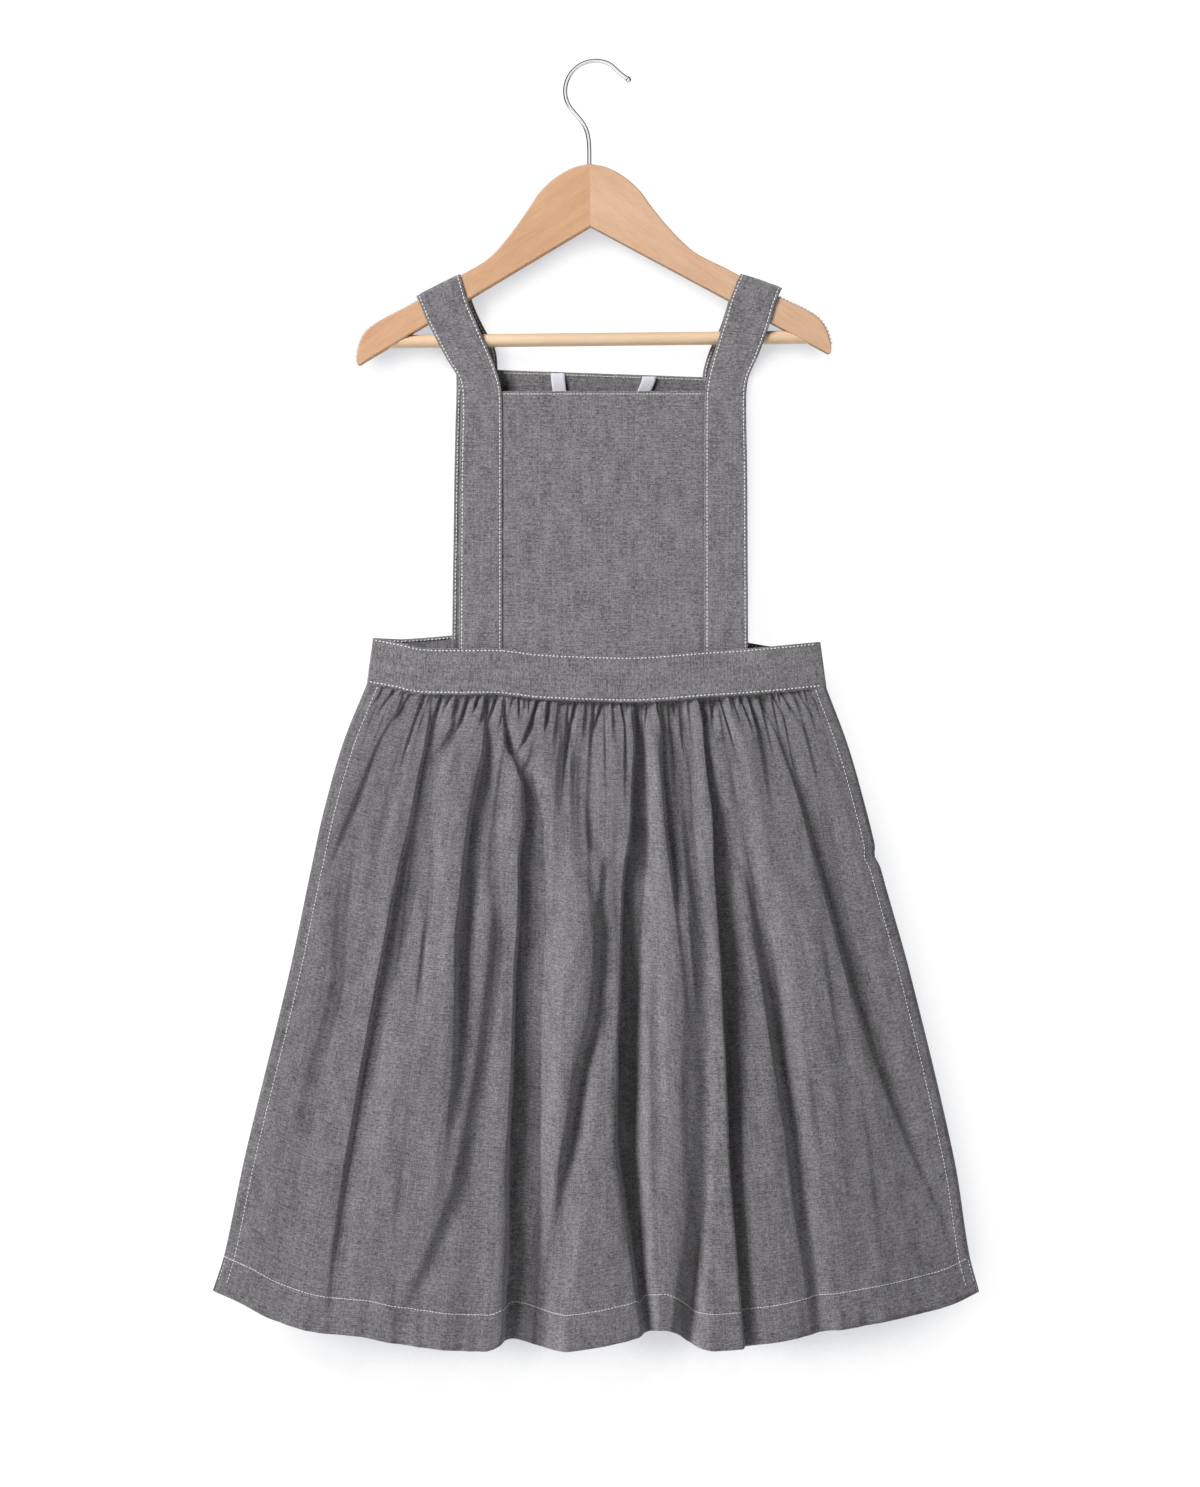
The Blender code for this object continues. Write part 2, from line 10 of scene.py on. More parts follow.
import bmesh
import bpy
import numpy as np
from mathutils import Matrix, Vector


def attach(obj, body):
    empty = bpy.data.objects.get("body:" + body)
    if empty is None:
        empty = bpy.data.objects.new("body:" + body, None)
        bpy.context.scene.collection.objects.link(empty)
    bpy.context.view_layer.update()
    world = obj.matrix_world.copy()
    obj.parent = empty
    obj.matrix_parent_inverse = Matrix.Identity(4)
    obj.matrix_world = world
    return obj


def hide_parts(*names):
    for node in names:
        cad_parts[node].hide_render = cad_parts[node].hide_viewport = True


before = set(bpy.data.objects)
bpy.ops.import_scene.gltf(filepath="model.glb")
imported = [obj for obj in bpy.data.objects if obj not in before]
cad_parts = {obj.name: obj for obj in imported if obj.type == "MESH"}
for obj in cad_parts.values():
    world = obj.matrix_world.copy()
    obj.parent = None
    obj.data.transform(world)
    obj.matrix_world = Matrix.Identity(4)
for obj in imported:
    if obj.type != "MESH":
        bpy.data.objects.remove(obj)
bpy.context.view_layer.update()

MM = 0.001
UV_UNIT = 100.0  # one unit of a weave map is this many millimetres of cloth

# ------------------------------------------------------------ the garment's form

FACES = {1: "front", -1: "back"}
HANDS = {-1: "left", 1: "right"}

WALL = 1.2  # the thickness of doubled cloth
GAP = 0.3  # between two pieces
BIB_X = 5.7  # the bibs' middle
WAIST_X = 0.5  # the waistbands' middle
BIB_HALF_WIDTH = 105.0
BIB_TOP = -249.8
BIB_BOTTOM = -458.0
BIB_BOW = 2.4  # a bib bows out this far just above the waistband
BIB_LIFT = 1.35  # and between the straps it stands out this far everywhere
BACK_RAISE = 14.5  # the back bib and the straps' back halves hang this much higher
BACK_SHIFT = (-2.7, -4.6)  # and are moved so far along X, at their top and at their bottom
BACK_SPREAD = 1.2  # and the straps' back halves are this much further out
BACK_LEAN = 0.035  # the slope of the back bib's top edge, which falls to the right
STRAP_Y = 7.5  # a strap's outer face, from the garment's middle plane
BIB_Y = STRAP_Y - WALL - GAP
BAND_TOP_HALF = 169.3
BAND_BOTTOM_HALF = 173.8
BAND_TOP = -450.6
BAND_BOTTOM = -484.3
BAND_BULGE = 8.6  # how far the waistbands stand out from their side seams
BAND_SQUARE = 6.0  # how squarely they turn to their side seams: 2 is round
SEAM_Y = WALL + GAP / 2  # the outer face at the side seams
BACK_HEM_LIFT = 9.0  # the back's hem hangs this much higher in the middle
TAPE_WALL = 0.6
TAPE_WIDTH = 10.0
TAPE_Y = 4.5
TAPE_DROP = 62.0
TAPE_CUT = (10.0, 160.0)
TAPE_LEFT = -29.0
TAPE_RIGHT = 40.3
TAPE_IN = {-1: 1.2, 1: 5.0}  # its left and its right limb lean in this far
TAPE_TWIST = (1.2, 0.88, 0.09)  # its twist's height, and the twist's place and length as shares
STRAP_WRAP = 4.0  # a strap begins to fold this far below an arm's upper edge
STRAP_SQUARE = 0.6  # how squarely it folds over the arm: 1 is round

# a strap's front half, going up: its inner edge's place and height, its outer edge's, and how far it
# has taken up the hanger's tilt and place
STRAP_EDGES = (
    (76.7, BIB_BOTTOM, 109.0, BIB_BOTTOM, 0.0),
    (76.7, -380.0, 108.6, -380.0, 0.0),
    (76.7, -308.0, 108.2, -308.0, 0.0),
    (76.9, -258.0, 107.4, -258.0, 0.0),
    (78.2, -243.0, 109.2, -240.0, 0.1),
    (84.3, -222.5, 116.9, -225.0, 0.4),
    (91.6, -203.0, 124.6, -208.0, 0.7),
    (99.5, -180.5, 131.5, -191.0, 1.0),
)

# a strap's fold over its arm, at its inner and at its outer edge: its place, its height above the wood,
# and how much further in it lies at the back
STRAP_FOLDS = {
    -1: ((105.9, 2.3, 3.4), (136.8, 3.9, 0.0)),
    1: ((107.2, 2.4, 0.6), (135.2, 7.5, 0.0)),
}
STRAP_WIDTH = 32.0
STRAP_CUT = (33.0, 590.0)
STRAP_GRID_ROWS = 190
STRAP_CROWN = 0.45  # its middle stands out this far

# how much higher the waistbands hang than the front one's lowest place: from -1 at the left side
# seam to 1 at the right, the front one, the back one
BAND_LIFTS = (
    (-1.00, 14.5, 14.5),
    (-0.88, 10.5, 13.5),
    (-0.78, 6.8, 14.5),
    (-0.60, 6.0, 17.0),
    (-0.43, 6.0, 17.5),
    (-0.25, 2.6, 17.0),
    (0.10, 0.3, 15.0),
    (0.23, 0.7, 14.5),
    (0.48, 4.0, 13.0),
    (0.65, 5.8, 11.5),
    (0.81, 8.2, 8.0),
    (1.00, 11.5, 11.5),
)

# the front's hem, from -1 at the left side seam to 1 at the right: its height
HEM_EDGE = (
    (-1.00, -930.0),
    (-0.93, -938.0),
    (-0.85, -949.5),
    (-0.73, -958.5),
    (-0.62, -960.5),
    (-0.52, -965.5),
    (-0.30, -970.0),
    (-0.22, -962.5),
    (-0.13, -970.5),
    (-0.05, -969.0),
    (0.07, -962.0),
    (0.16, -955.0),
    (0.20, -957.5),
    (0.25, -967.5),
    (0.31, -969.5),
    (0.43, -965.5),
    (0.58, -957.5),
    (0.72, -951.5),
    (0.85, -945.0),
    (0.93, -939.5),
    (1.00, -930.8),
)

# the skirt's outline going down: share of the way, left edge, right edge, half depth, squareness
SKIRT_ROWS = (
    (0.00, -173.3, 174.3, BAND_BULGE, BAND_SQUARE),
    (0.10, -191.8, 191.4, 14.0, 3.8),
    (0.21, -206.2, 205.6, 20.0, 3.2),
    (0.30, -215.3, 215.8, 25.0, 3.0),
    (0.48, -232.7, 238.8, 32.0, 2.8),
    (0.78, -266.1, 271.4, 37.0, 2.6),
    (0.94, -281.5, 283.0, 38.0, 2.6),
    (1.00, -290.3, 290.3, 38.0, 2.6),
)

# the cloth's unevenness: how high it is, and how large across and down the cloth
SKIRT_BROAD = (3.4, 12.0, 150.0)
SKIRT_FINE = (1.1, 5.5, 60.0)
HEM_PUCKER = (1.5, 6.5, 60.0)
STRAP_WAVE = (0.5, 12.0, 30.0)
STRAP_PUCKER = (0.16, 30.0, 4.0)
BIB_BROAD = (0.55, 34.0, 26.0)
BIB_FINE = (0.25, 13.0, 15.0)
BAND_PUCKER = (0.45, 4.5, 30.0)
BAND_WAVE = (0.6, 20.0, 14.0)
BAND_SWELL = 0.6  # the waistband swells this much between its rows of stitches

# ------------------------------------------------------------ the skirt's creases

# Each crease is a trough in the skirt. Its walls are so wide to the left and to the right of its
# floor; sharp is 0 for a round trough and 1 for one with a keen floor. Its points, going down, are
# height, left edge of the floor, width of the floor, depth as a share of the skirt's half depth.
CREASES = (
    ("left pocket", 5, 14, 0.7, (
        (-486, -147, 0, 0.15), (-514, -163, 0, 0.50), (-553, -178, 0, 0.65),
        (-587, -192, 0, 0.50), (-609, -201, 0, 0.35), (-635, -208, 0, 0.00),
    )),
    ("left soft", 8, 12, 0.5, (
        (-482, -134, 0, 0.20), (-528, -154, 0, 0.30), (-585, -183, 2, 0.50),
        (-629, -191, 4, 0.58), (-669, -195, 6, 0.62), (-701, -197, 6, 0.62),
        (-769, -215, 6, 0.56), (-853, -233, 6, 0.42), (-900, -244, 8, 0.28),
        (-960, -258, 10, 0.20),
    )),
    ("left middle", 4, 9, 0.75, (
        (-480, -124, 0, 0.30), (-510, -127, 3, 0.60), (-537, -132, 8, 0.68),
        (-561, -136, 11, 0.68), (-585, -141, 13, 0.64), (-617, -149, 14, 0.62),
        (-653, -156, 13, 0.60), (-717, -168, 10, 0.56), (-777, -178, 7, 0.52),
        (-837, -188, 6, 0.45), (-889, -196, 4, 0.32), (-925, -200, 2, 0.16),
        (-965, -203, 0, 0.10),
    )),
    ("left hollow", 5, 9, 0.5, (
        (-480, -104, 0, 0.25), (-500, -107, 0, 0.40), (-518, -116, 3, 0.60),
        (-528, -123, 2, 0.50), (-540, -130, 0, 0.20), (-548, -132, 0, 0.00),
    )),
    ("left shallow", 12, 4, 0.3, (
        (-545, -131, 0, 0.00), (-565, -131, 2, 0.35), (-589, -129, 3, 0.50),
        (-617, -127, 3, 0.50), (-641, -129, 3, 0.42), (-669, -134, 3, 0.38),
        (-701, -138, 2, 0.32), (-733, -145, 0, 0.18), (-760, -150, 0, 0.00),
    )),
    ("left low", 6, 8, 0.5, (
        (-765, -140, 0, 0.00), (-789, -141, 0, 0.12), (-829, -145, 0, 0.16),
        (-865, -149, 0, 0.16), (-885, -150, 0, 0.08), (-910, -151, 0, 0.00),
    )),
    ("left slant", 5, 8, 0.7, (
        (-480, -83, 0, 0.35), (-521, -84, 2, 0.60), (-549, -89, 5, 0.58),
        (-569, -93, 8, 0.52), (-597, -97, 9, 0.47), (-629, -101, 9, 0.43),
        (-661, -105, 9, 0.40), (-693, -105, 8, 0.36), (-725, -105, 7, 0.31),
        (-757, -106, 5, 0.25), (-801, -110, 3, 0.13), (-830, -112, 0, 0.00),
    )),
    ("left long", 10, 12, 0.6, (
        (-520, -83, 0, 0.00), (-545, -81, 0, 0.30), (-573, -80, 0, 0.38),
        (-617, -78, 0, 0.45), (-645, -76, 0, 0.46), (-685, -78, 0, 0.46),
        (-733, -83, 0, 0.48), (-789, -92, 0, 0.46), (-841, -102, 0, 0.44),
        (-865, -109, 0, 0.42), (-905, -125, 0, 0.34), (-940, -143, 0, 0.22),
        (-965, -150, 0, 0.15),
    )),
    ("left of centre", 4, 6, 0.8, (
        (-484, -70, 0, 0.30), (-505, -69, 1, 0.55), (-518, -67, 3, 0.70),
        (-530, -61, 5, 0.80), (-545, -55, 7, 0.90), (-561, -53, 9, 0.92),
        (-577, -53, 12, 0.92), (-601, -57, 17, 0.92), (-629, -57, 19, 0.90),
        (-657, -58, 20, 0.88), (-685, -60, 20, 0.86), (-717, -61, 20, 0.84),
        (-749, -62, 20, 0.82), (-777, -63, 21, 0.80), (-809, -65, 22, 0.78),
        (-841, -66, 23, 0.76), (-869, -66, 24, 0.72), (-908, -67, 24, 0.66),
        (-940, -69, 24, 0.56), (-965, -70, 24, 0.45),
    )),
    ("beside the centre", 7, 4, 0.4, (
        (-480, -27, 0, 0.25), (-501, -25, 3, 0.50), (-515, -25, 3, 0.45),
        (-533, -27, 0, 0.38), (-565, -28, 0, 0.34), (-597, -29, 0, 0.32),
        (-625, -31, 0, 0.30), (-653, -35, 0, 0.28), (-685, -37, 0, 0.26),
        (-717, -39, 0, 0.24), (-749, -41, 0, 0.20), (-777, -42, 0, 0.10),
        (-800, -42, 0, 0.00),
    )),
    ("short centre", 8, 8, 0.5, (
        (-480, -9, 0, 0.15), (-501, -12, 0, 0.32), (-530, -15, 2, 0.55),
        (-561, -16, 2, 0.55), (-597, -15, 0, 0.42), (-617, -12, 0, 0.25),
        (-645, -11, 0, 0.00),
    )),
    ("centre slant", 8, 9, 0.6, (
        (-480, 9, 0, 0.10), (-514, -8, 0, 0.42), (-549, -9, 0, 0.48),
        (-573, -5, 0, 0.44), (-597, 1, 0, 0.48), (-607, 6, 0, 0.42),
        (-625, 5, 0, 0.35), (-637, 4, 0, 0.35), (-669, 2, 0, 0.36),
        (-701, 0, 0, 0.38), (-725, -3, 0, 0.42), (-749, -9, 0, 0.46),
        (-797, -17, 0, 0.52), (-837, -25, 0, 0.52), (-881, -31, 0, 0.52),
        (-925, -39, 0, 0.52), (-965, -42, 0, 0.45),
    )),
    ("centre", 4, 4, 0.8, (
        (-480, 29, 0, 0.50), (-500, 30, 3, 0.80), (-530, 29, 7, 0.96),
        (-561, 28, 10, 0.98), (-589, 26, 12, 0.98), (-609, 23, 14, 0.97),
        (-637, 21, 14, 0.95), (-669, 20, 13, 0.92), (-701, 19, 13, 0.88),
        (-733, 17, 13, 0.84), (-765, 17, 13, 0.80), (-813, 16, 13, 0.74),
        (-837, 18, 12, 0.70), (-861, 22, 10, 0.66), (-885, 25, 8, 0.60),
        (-908, 28, 6, 0.54), (-932, 31, 5, 0.44), (-960, 35, 4, 0.32),
    )),
    ("beside the centre crease", 5, 4, 0.4, (
        (-570, 37, 0, 0.00), (-600, 38, 0, 0.16), (-629, 40, 0, 0.26),
        (-669, 41, 0, 0.30), (-717, 41, 0, 0.30), (-749, 41, 0, 0.28),
        (-789, 43, 0, 0.24), (-829, 44, 0, 0.16), (-857, 45, 0, 0.00),
    )),
    ("short right", 4, 8, 0.6, (
        (-480, 51, 0, 0.25), (-500, 50, 3, 0.45), (-530, 50, 6, 0.48),
        (-561, 52, 6, 0.45), (-597, 55, 5, 0.40), (-621, 58, 3, 0.22),
        (-645, 60, 0, 0.00),
    )),
    ("right of centre", 12, 4, 0.5, (
        (-480, 60, 2, 0.15), (-502, 63, 6, 0.55), (-525, 64, 8, 0.60),
        (-557, 67, 6, 0.55), (-589, 71, 3, 0.48), (-629, 75, 1, 0.40),
        (-669, 78, 0, 0.33), (-709, 79, 0, 0.33), (-749, 80, 0, 0.33),
        (-789, 80, 0, 0.36), (-829, 79, 0, 0.42), (-869, 76, 1, 0.52),
        (-908, 71, 3, 0.62), (-944, 66, 5, 0.62), (-965, 63, 6, 0.55),
    )),
    ("right keen", 2, 14, 0.85, (
        (-480, 79, 0, 0.40), (-517, 82, 2, 0.80), (-545, 85, 5, 0.94),
        (-569, 88, 7, 0.97), (-605, 89, 9, 0.97), (-641, 91, 9, 0.96),
        (-685, 93, 8, 0.92), (-717, 94, 6, 0.88), (-749, 96, 3, 0.82),
        (-789, 98, 1, 0.76), (-837, 100, 0, 0.72), (-889, 104, 0, 0.64),
        (-944, 108, 0, 0.50), (-965, 110, 0, 0.40),
    )),
    ("right middle", 8, 7, 0.65, (
        (-500, 92, 0, 0.00), (-521, 96, 2, 0.35), (-557, 103, 4, 0.50),
        (-577, 106, 5, 0.52), (-601, 110, 5, 0.54), (-621, 115, 6, 0.58),
        (-645, 119, 8, 0.64), (-669, 123, 9, 0.70), (-693, 128, 8, 0.72),
        (-717, 132, 6, 0.72), (-749, 137, 3, 0.70), (-801, 146, 2, 0.66),
        (-853, 152, 2, 0.60), (-901, 159, 2, 0.52), (-932, 163, 1, 0.44),
        (-962, 167, 0, 0.35),
    )),
    ("right faint", 6, 7, 0.5, (
        (-480, 117, 0, 0.25), (-505, 123, 0, 0.38), (-530, 128, 0, 0.38),
        (-561, 133, 0, 0.32), (-593, 139, 0, 0.26), (-629, 146, 0, 0.15),
        (-660, 152, 0, 0.00),
    )),
    ("right", 5, 11, 0.7, (
        (-480, 122, 0, 0.35), (-505, 136, 2, 0.56), (-525, 144, 4, 0.66),
        (-561, 156, 7, 0.70), (-605, 168, 12, 0.70), (-649, 180, 12, 0.70),
        (-693, 192, 10, 0.68), (-741, 208, 6, 0.68), (-789, 226, 4, 0.66),
        (-837, 246, 3, 0.64), (-861, 258, 2, 0.62), (-901, 272, 0, 0.52),
        (-925, 279, 0, 0.40),
    )),
    ("right wedge", 6, 5, 0.6, (
        (-540, 162, 0, 0.00), (-561, 168, 0, 0.35), (-581, 178, 0, 0.52),
        (-601, 184, 0, 0.55), (-612, 188, 0, 0.30), (-625, 191, 0, 0.00),
    )),
    ("right low", 12, 16, 0.2, (
        (-760, 212, 0, 0.00), (-789, 218, 2, 0.15), (-829, 222, 4, 0.26),
        (-889, 234, 6, 0.32), (-929, 247, 8, 0.32), (-960, 256, 8, 0.26),
    )),
)
CREASE_DEPTHS = (1.55, 0.95)  # depths are this many times the table's, high up and low down
CREASE_CHANGE = (180.0, 200.0)  # where that change begins below the seam, and how long it takes
CREASE_DEEPEST = 0.97
RIGHT_SPREAD = 2.3  # right walls are this many times as wide as in the table
CREASE_TIGHT = 0.6  # at the seam the walls have this share of their width
CREASE_OPEN = 100.0  # and they have their full width this far below it
CREASE_SHOULDER = 2.4  # its walls begin as a soft shoulder this many times as wide
CREASE_SHOULDERED = 0.9  # and this share of a round trough's depth belongs to the shoulder
FLOOR_FALL = 0.45  # a round trough's floor is shallower by this share at its left edge
KEEN_POWER = 1.6  # how sharply a keen floor is cut
BACK_CREASE_SHIFT = (5.0, 2.3)  # the back's creases are moved by so much, in turns of this step
BACK_CREASE_FAINT = (0.15, 1.7)  # and they are fainter by this share, in turns of this step

# the larger gathers under the waistband, besides the creases: x at the seam, x at its end, how far
# down it ends, half width, depth
GATHERS = (
    (-160, -168, 24, 3.2, 2.2),
    (-153, -165, 34, 3.0, 2.6),
    (-141, -147, 22, 2.8, 2.8),
    (-131, -130, 16, 2.6, 2.4),
    (-118, -118, 29, 3.0, 3.0),
    (-111, -113, 14, 2.4, 2.4),
    (-97, -100, 26, 2.8, 2.6),
    (-90, -91, 15, 2.4, 2.6),
    (-76, -79, 22, 2.6, 2.8),
    (-60, -56, 18, 2.6, 2.4),
    (-52, -50, 14, 2.2, 2.4),
    (-45, -56, 40, 3.0, 3.6),
    (-37, -38, 24, 2.6, 2.8),
    (-17, -22, 34, 3.0, 3.2),
    (-3, -2, 18, 2.4, 2.6),
    (3, -4, 26, 2.6, 2.8),
    (17, 21, 20, 2.6, 2.6),
    (23, 20, 12, 2.2, 2.2),
    (37, 34, 28, 2.8, 3.2),
    (44, 46, 14, 2.4, 2.2),
    (57, 58, 16, 2.4, 2.4),
    (75, 82, 18, 2.6, 2.8),
    (89, 82, 18, 2.6, 2.8),
    (92, 98, 44, 2.8, 3.0),
    (101, 104, 20, 2.4, 2.4),
    (107, 112, 26, 2.6, 2.8),
    (113, 116, 30, 2.6, 3.0),
    (131, 138, 20, 2.6, 2.6),
    (138, 149, 26, 2.8, 2.6),
    (145, 153, 16, 2.4, 2.2),
    (151, 163, 34, 3.0, 2.6),
    (159, 169, 22, 2.8, 2.0),
)
GATHER_SCALES = (1.3, 1.4, 2.1)  # lengths, widths and depths are this many times the table's

# the smaller gathers between them, and the fine pleats right under the waistband: how far down they
# may reach, least and greatest pitch, least and greatest depth
SMALL_GATHERS = (
    ((20, 26, 34, 48, 70, 95), 5.0, 9.0, 2.6, 5.0),
    ((7, 9, 12, 16, 22), 2.2, 4.4, 1.7, 3.4),
)
GATHERED_HALF = 169.0
GATHER_SIDES = (0.4, 1.3)  # a gather's left and right side, as shares of its half width
GATHER_RISE = 1.5  # it has its full depth this far below the seam
FOLD_SIDES = (0.7, 1.2)
FOLD_RISE = 0.35  # a small fold has its full depth after this share of its length
SMALL_FOLDS = 34  # shallow folds between the creases, further down
SMALL_FOLD_STARTS = (15.0, 50.0, 110.0, 200.0)
SMALL_FOLD_LENGTH = (120, 330)
SMALL_FOLD_HALF = (4.5, 8.0)
SMALL_FOLD_DEPTH = (2.5, 5.5)
RIDGE_LEAN = 0.15  # the ridges lean over this much to the right
LEAN_LOST = 0.55  # and low down they lean less by this share
SKIRT_FULLER = 1.10
SKIRT_FALL = 480.0
TUCK = 0.9  # the skirt's top lies this far inside the waistband's outer face
TUCK_LENGTH = 4.0
DENT_Z = -601.0  # a small dent in the right side's outline
DENT_DEEP = 2.2
DENT_LONG = 5.0

SKIRT_CUT = (700.0, 525.0)  # one panel laid flat, with its hem let down
SKIRT_COLUMNS = 620
SKIRT_GRID_ROWS = 146
ROWS_EVEN = 0.36  # this share of the rows' places is even
ROWS_POWER = 1.9  # and the rest draws them together below the seam
HEM_DEEP = 27.0  # the hem is turned up this far
HEM_TURN = 1.3  # and its inner layer lies this far in
HEM_GROOVE = 0.7  # its stitches pull the cloth in this far
HEM_ROUND = 0.6  # its fold reaches this far below the edge

# ------------------------------------------------------------ the hanger's form

TILT = math.radians(1.4)  # its right arm hangs this much higher
APEX = (-4.0, -124.3)  # where the arms' undersides meet
ARM_THICK = 12.0
ARM_ROUNDING = 1.2  # the radius of the arms' edges
STRAP_SLIDE = 5.1  # the straps' middle lies this far right of the hanger's
ARM_TIP = (177.4, -100.6)  # the lower corner of an arm's end, from the apex
ARM_CORNER = (2.0, 1.2)  # and the end's roundness just outside it and above it
JOINT_GAP = 0.02  # each arm ends this far from the plane between them
BAR_RADIUS = 5.0
BAR_END_X = 140.0  # the bar's middle line has these heights so far to the left and to the right
BAR_LEFT_Z = -211.1
BAR_RIGHT_Z = -208.1
BAR_GAP = 0.25  # between its ends and the arms
WIRE_RADIUS = 1.55
HOOK_CENTRE_Z = -21.4  # the middle of the hook's bend
HOOK_BALL = 2.1  # the radius of the ball at the wire's tip
SHANK_X = -5.0
SHANK_BEND = -80.0  # the wire runs straight down from here
SHANK_DEPTH = -102.0  # and ends here, in the wood
GRIP_WIDTH = 5.0
GRIP_FROM = 122.0  # the strips begin this far from the middle
GRIP_PITCH = 3.0  # from one nub to the next
GRIP_MARGIN = 2.0  # from a strip's ends to its first and last nubs
NUB_SIDES = 10
NUB_RINGS = ((1.3, 0.15), (1.15, 0.9), (0.8, 1.4), (0.0, 1.6))  # half length, height

# the arms' upper edges: distance from the middle, the left arm's height, the right arm's
ARM_TOP_EDGE = (
    (0.0, 47.2, 47.2),
    (12.9, 44.3, 44.3),
    (26.5, 36.9, 36.6),
    (37.9, 26.8, 25.8),
    (45.5, 16.1, 14.8),
    (55.1, 2.9, 2.1),
    (67.5, -12.4, -12.0),
    (80.3, -24.3, -23.1),
    (101.6, -36.1, -34.5),
    (122.0, -47.5, -46.2),
    (143.5, -59.0, -58.2),
    (159.2, -66.6, -66.0),
    (171.3, -74.7, -74.3),
    (177.3, -84.5, -84.5),
    (179.8, -95.5, -95.5),
)

# the wire's arc: degrees above the right side, distance from the hook's centre
HOOK_ARC = (
    (19.5, 26.0),
    (26.0, 24.4),
    (37.0, 22.7),
    (50.0, 22.4),
    (62.0, 22.9),
    (90.0, 23.0),
    (180.0, 23.4),
    (218.0, 23.1),
)

# the wire's points between that arc and the straight shank
HOOK_NECK = (
    (-12.6, -42.2),
    (-8.8, -47.6),
    (-6.4, -54.0),
    (-5.2, -63.0),
)

# ------------------------------------------------------------ stitching, view and light

WAIST_STITCH = (2.9, 1.55, 0.50)  # pitch, length and radius of a stitch
EDGE_STITCH = (2.9, 1.9, 0.43)
HEM_STITCH = (2.5, 1.9, 0.29)
SEAM_STITCH = (2.9, 1.8, 0.31)
STITCH_INSET = 1.7  # from a piece's edge to its stitches
WAIST_INSET = 1.2
SIDE_STITCH_INSET = 9.5  # from the skirt's silhouette to the side seam's stitches
HEM_SIDE_INSET = 2.2  # and to the ones that close the hem's ends

CAMERA_AT = (0.00303, -3.0, -0.5158)
CAMERA_LENS = 95.83
FLOOR_Z = -1.22
# the backdrop's profile from top to bottom: height and distance behind the hanger, in metres
BACKDROP = (
    (0.30, 0.016),
    (-0.40, 0.016),
    (-0.47, 0.022),
    (-0.58, 0.040),
    (-0.70, 0.046),
    (-1.22, 0.048),
)
BACKDROP_HALF = 0.75
# the backdrop's painted shadow: its reach at two heights, where it falls from, and its glow's colours
# from shaded to clear
SHADE_REACH = (-0.45, -0.60, 0.028, 0.13)  # its shade's reach at two heights, in metres
SHADE_FROM = (-0.38, -0.62, 0.68)  # the shade falls away from here
SHADE = ((0.50, (0.55, 0.56, 0.59)), (0.60, (0.75, 0.76, 0.78)), (0.72, (0.97, 0.97, 0.97)))
STUDIO_FRONT = (-0.75, -0.35, 1.0, 0.02)  # reflections: white towards -Y, and dark from there on
EVEN_LIGHT = 0.03
LIGHTS_AT = (0.0, 0.0, -0.55)
LIGHTS = (  # name, place, size and power
    ("key", (-2.2, -2.15, 1.6), 1.45, 177.0),
    ("fill", (1.9, -2.6, -0.2), 1.8, 2.0),
    ("back", (1.7, 2.3, 1.0), 1.6, 66.0),
)

# ------------------------------------------------------------ reading tables


def ease(share):
    """A smooth step from 0 to 1."""
    share = np.clip(share, 0.0, 1.0)
    return share * share * (3 - 2 * share)


def read_table(rows, keys):
    """A table's columns at the given keys, read from a smooth curve through its rows."""
    table = np.array(rows, float)
    at, values = table[:, 0], table[:, 1:]
    before = np.maximum(np.arange(len(at)) - 1, 0)
    after = np.minimum(np.arange(len(at)) + 1, len(at) - 1)
    slopes = (values[after] - values[before]) / (at[after] - at[before])[:, None]
    keys = np.clip(keys, at[0], at[-1])
    row = np.clip(np.searchsorted(at, keys, side="right") - 1, 0, len(at) - 2)
    span = (at[row + 1] - at[row])[..., None]
    s = (keys - at[row])[..., None] / span
    start, end = values[row], values[row + 1]
    start_slope, end_slope = slopes[row] * span, slopes[row + 1] * span
    out = (
        start
        + s * start_slope
        + s**2 * (3 * (end - start) - 2 * start_slope - end_slope)
        + s**3 * (2 * (start - end) + start_slope + end_slope)
    )
    return np.moveaxis(out, -1, 0)


def curve_through(points, steps):
    """Points along a smooth curve through the given points, with so many steps between two."""
    rows = [(float(n), *point) for n, point in enumerate(points)]
    keys = np.linspace(0, len(points) - 1, (len(points) - 1) * steps + 1)
    return read_table(rows, keys).T


def soft_noise(x, y, cell_x, cell_y, seed):
    """Smooth noise from -1 to 1 over cells of the given size, the same on each run."""
    random = np.random.default_rng(seed)
    grid = random.uniform(-1, 1, (64, 64))
    across, down = x / cell_x + 1000.0, y / cell_y + 1000.0
    column, row = np.floor(across).astype(int), np.floor(down).astype(int)
    a, b = ease(across - column), ease(down - row)
    corner = [[grid[(row + i) % 64, (column + j) % 64] for j in (0, 1)] for i in (0, 1)]
    upper = corner[0][0] * (1 - a) + corner[0][1] * a
    lower = corner[1][0] * (1 - a) + corner[1][1] * a
    return upper * (1 - b) + lower * b


def hump(off):
    """A smooth bump: 1 where off is 0, falling to 0 where it is 1 or more."""
    return 0.5 + 0.5 * np.cos(math.pi * np.clip(off, 0.0, 1.0))


def wave(x, z, form, seed):
    """Unevenness of the given height and size across and down."""
    height, across, down = form
    return height * soft_noise(x, z, across, down, seed)


def unit(vectors):
    """The vectors with a length of one."""
    return vectors / np.maximum(np.linalg.norm(vectors, axis=-1, keepdims=True), 1e-9)


def line_lengths(line):
    """How far along a line each of its points lies."""
    return np.concatenate([[0.0], np.cumsum(np.linalg.norm(np.diff(line, axis=0), axis=1))])


def taken_at(at, run, values):
    """A line's values, which have a row for each point, at the given distances along it."""
    return np.stack([np.interp(at, run, column) for column in values.T], axis=-1)


# ------------------------------------------------------------ meshes


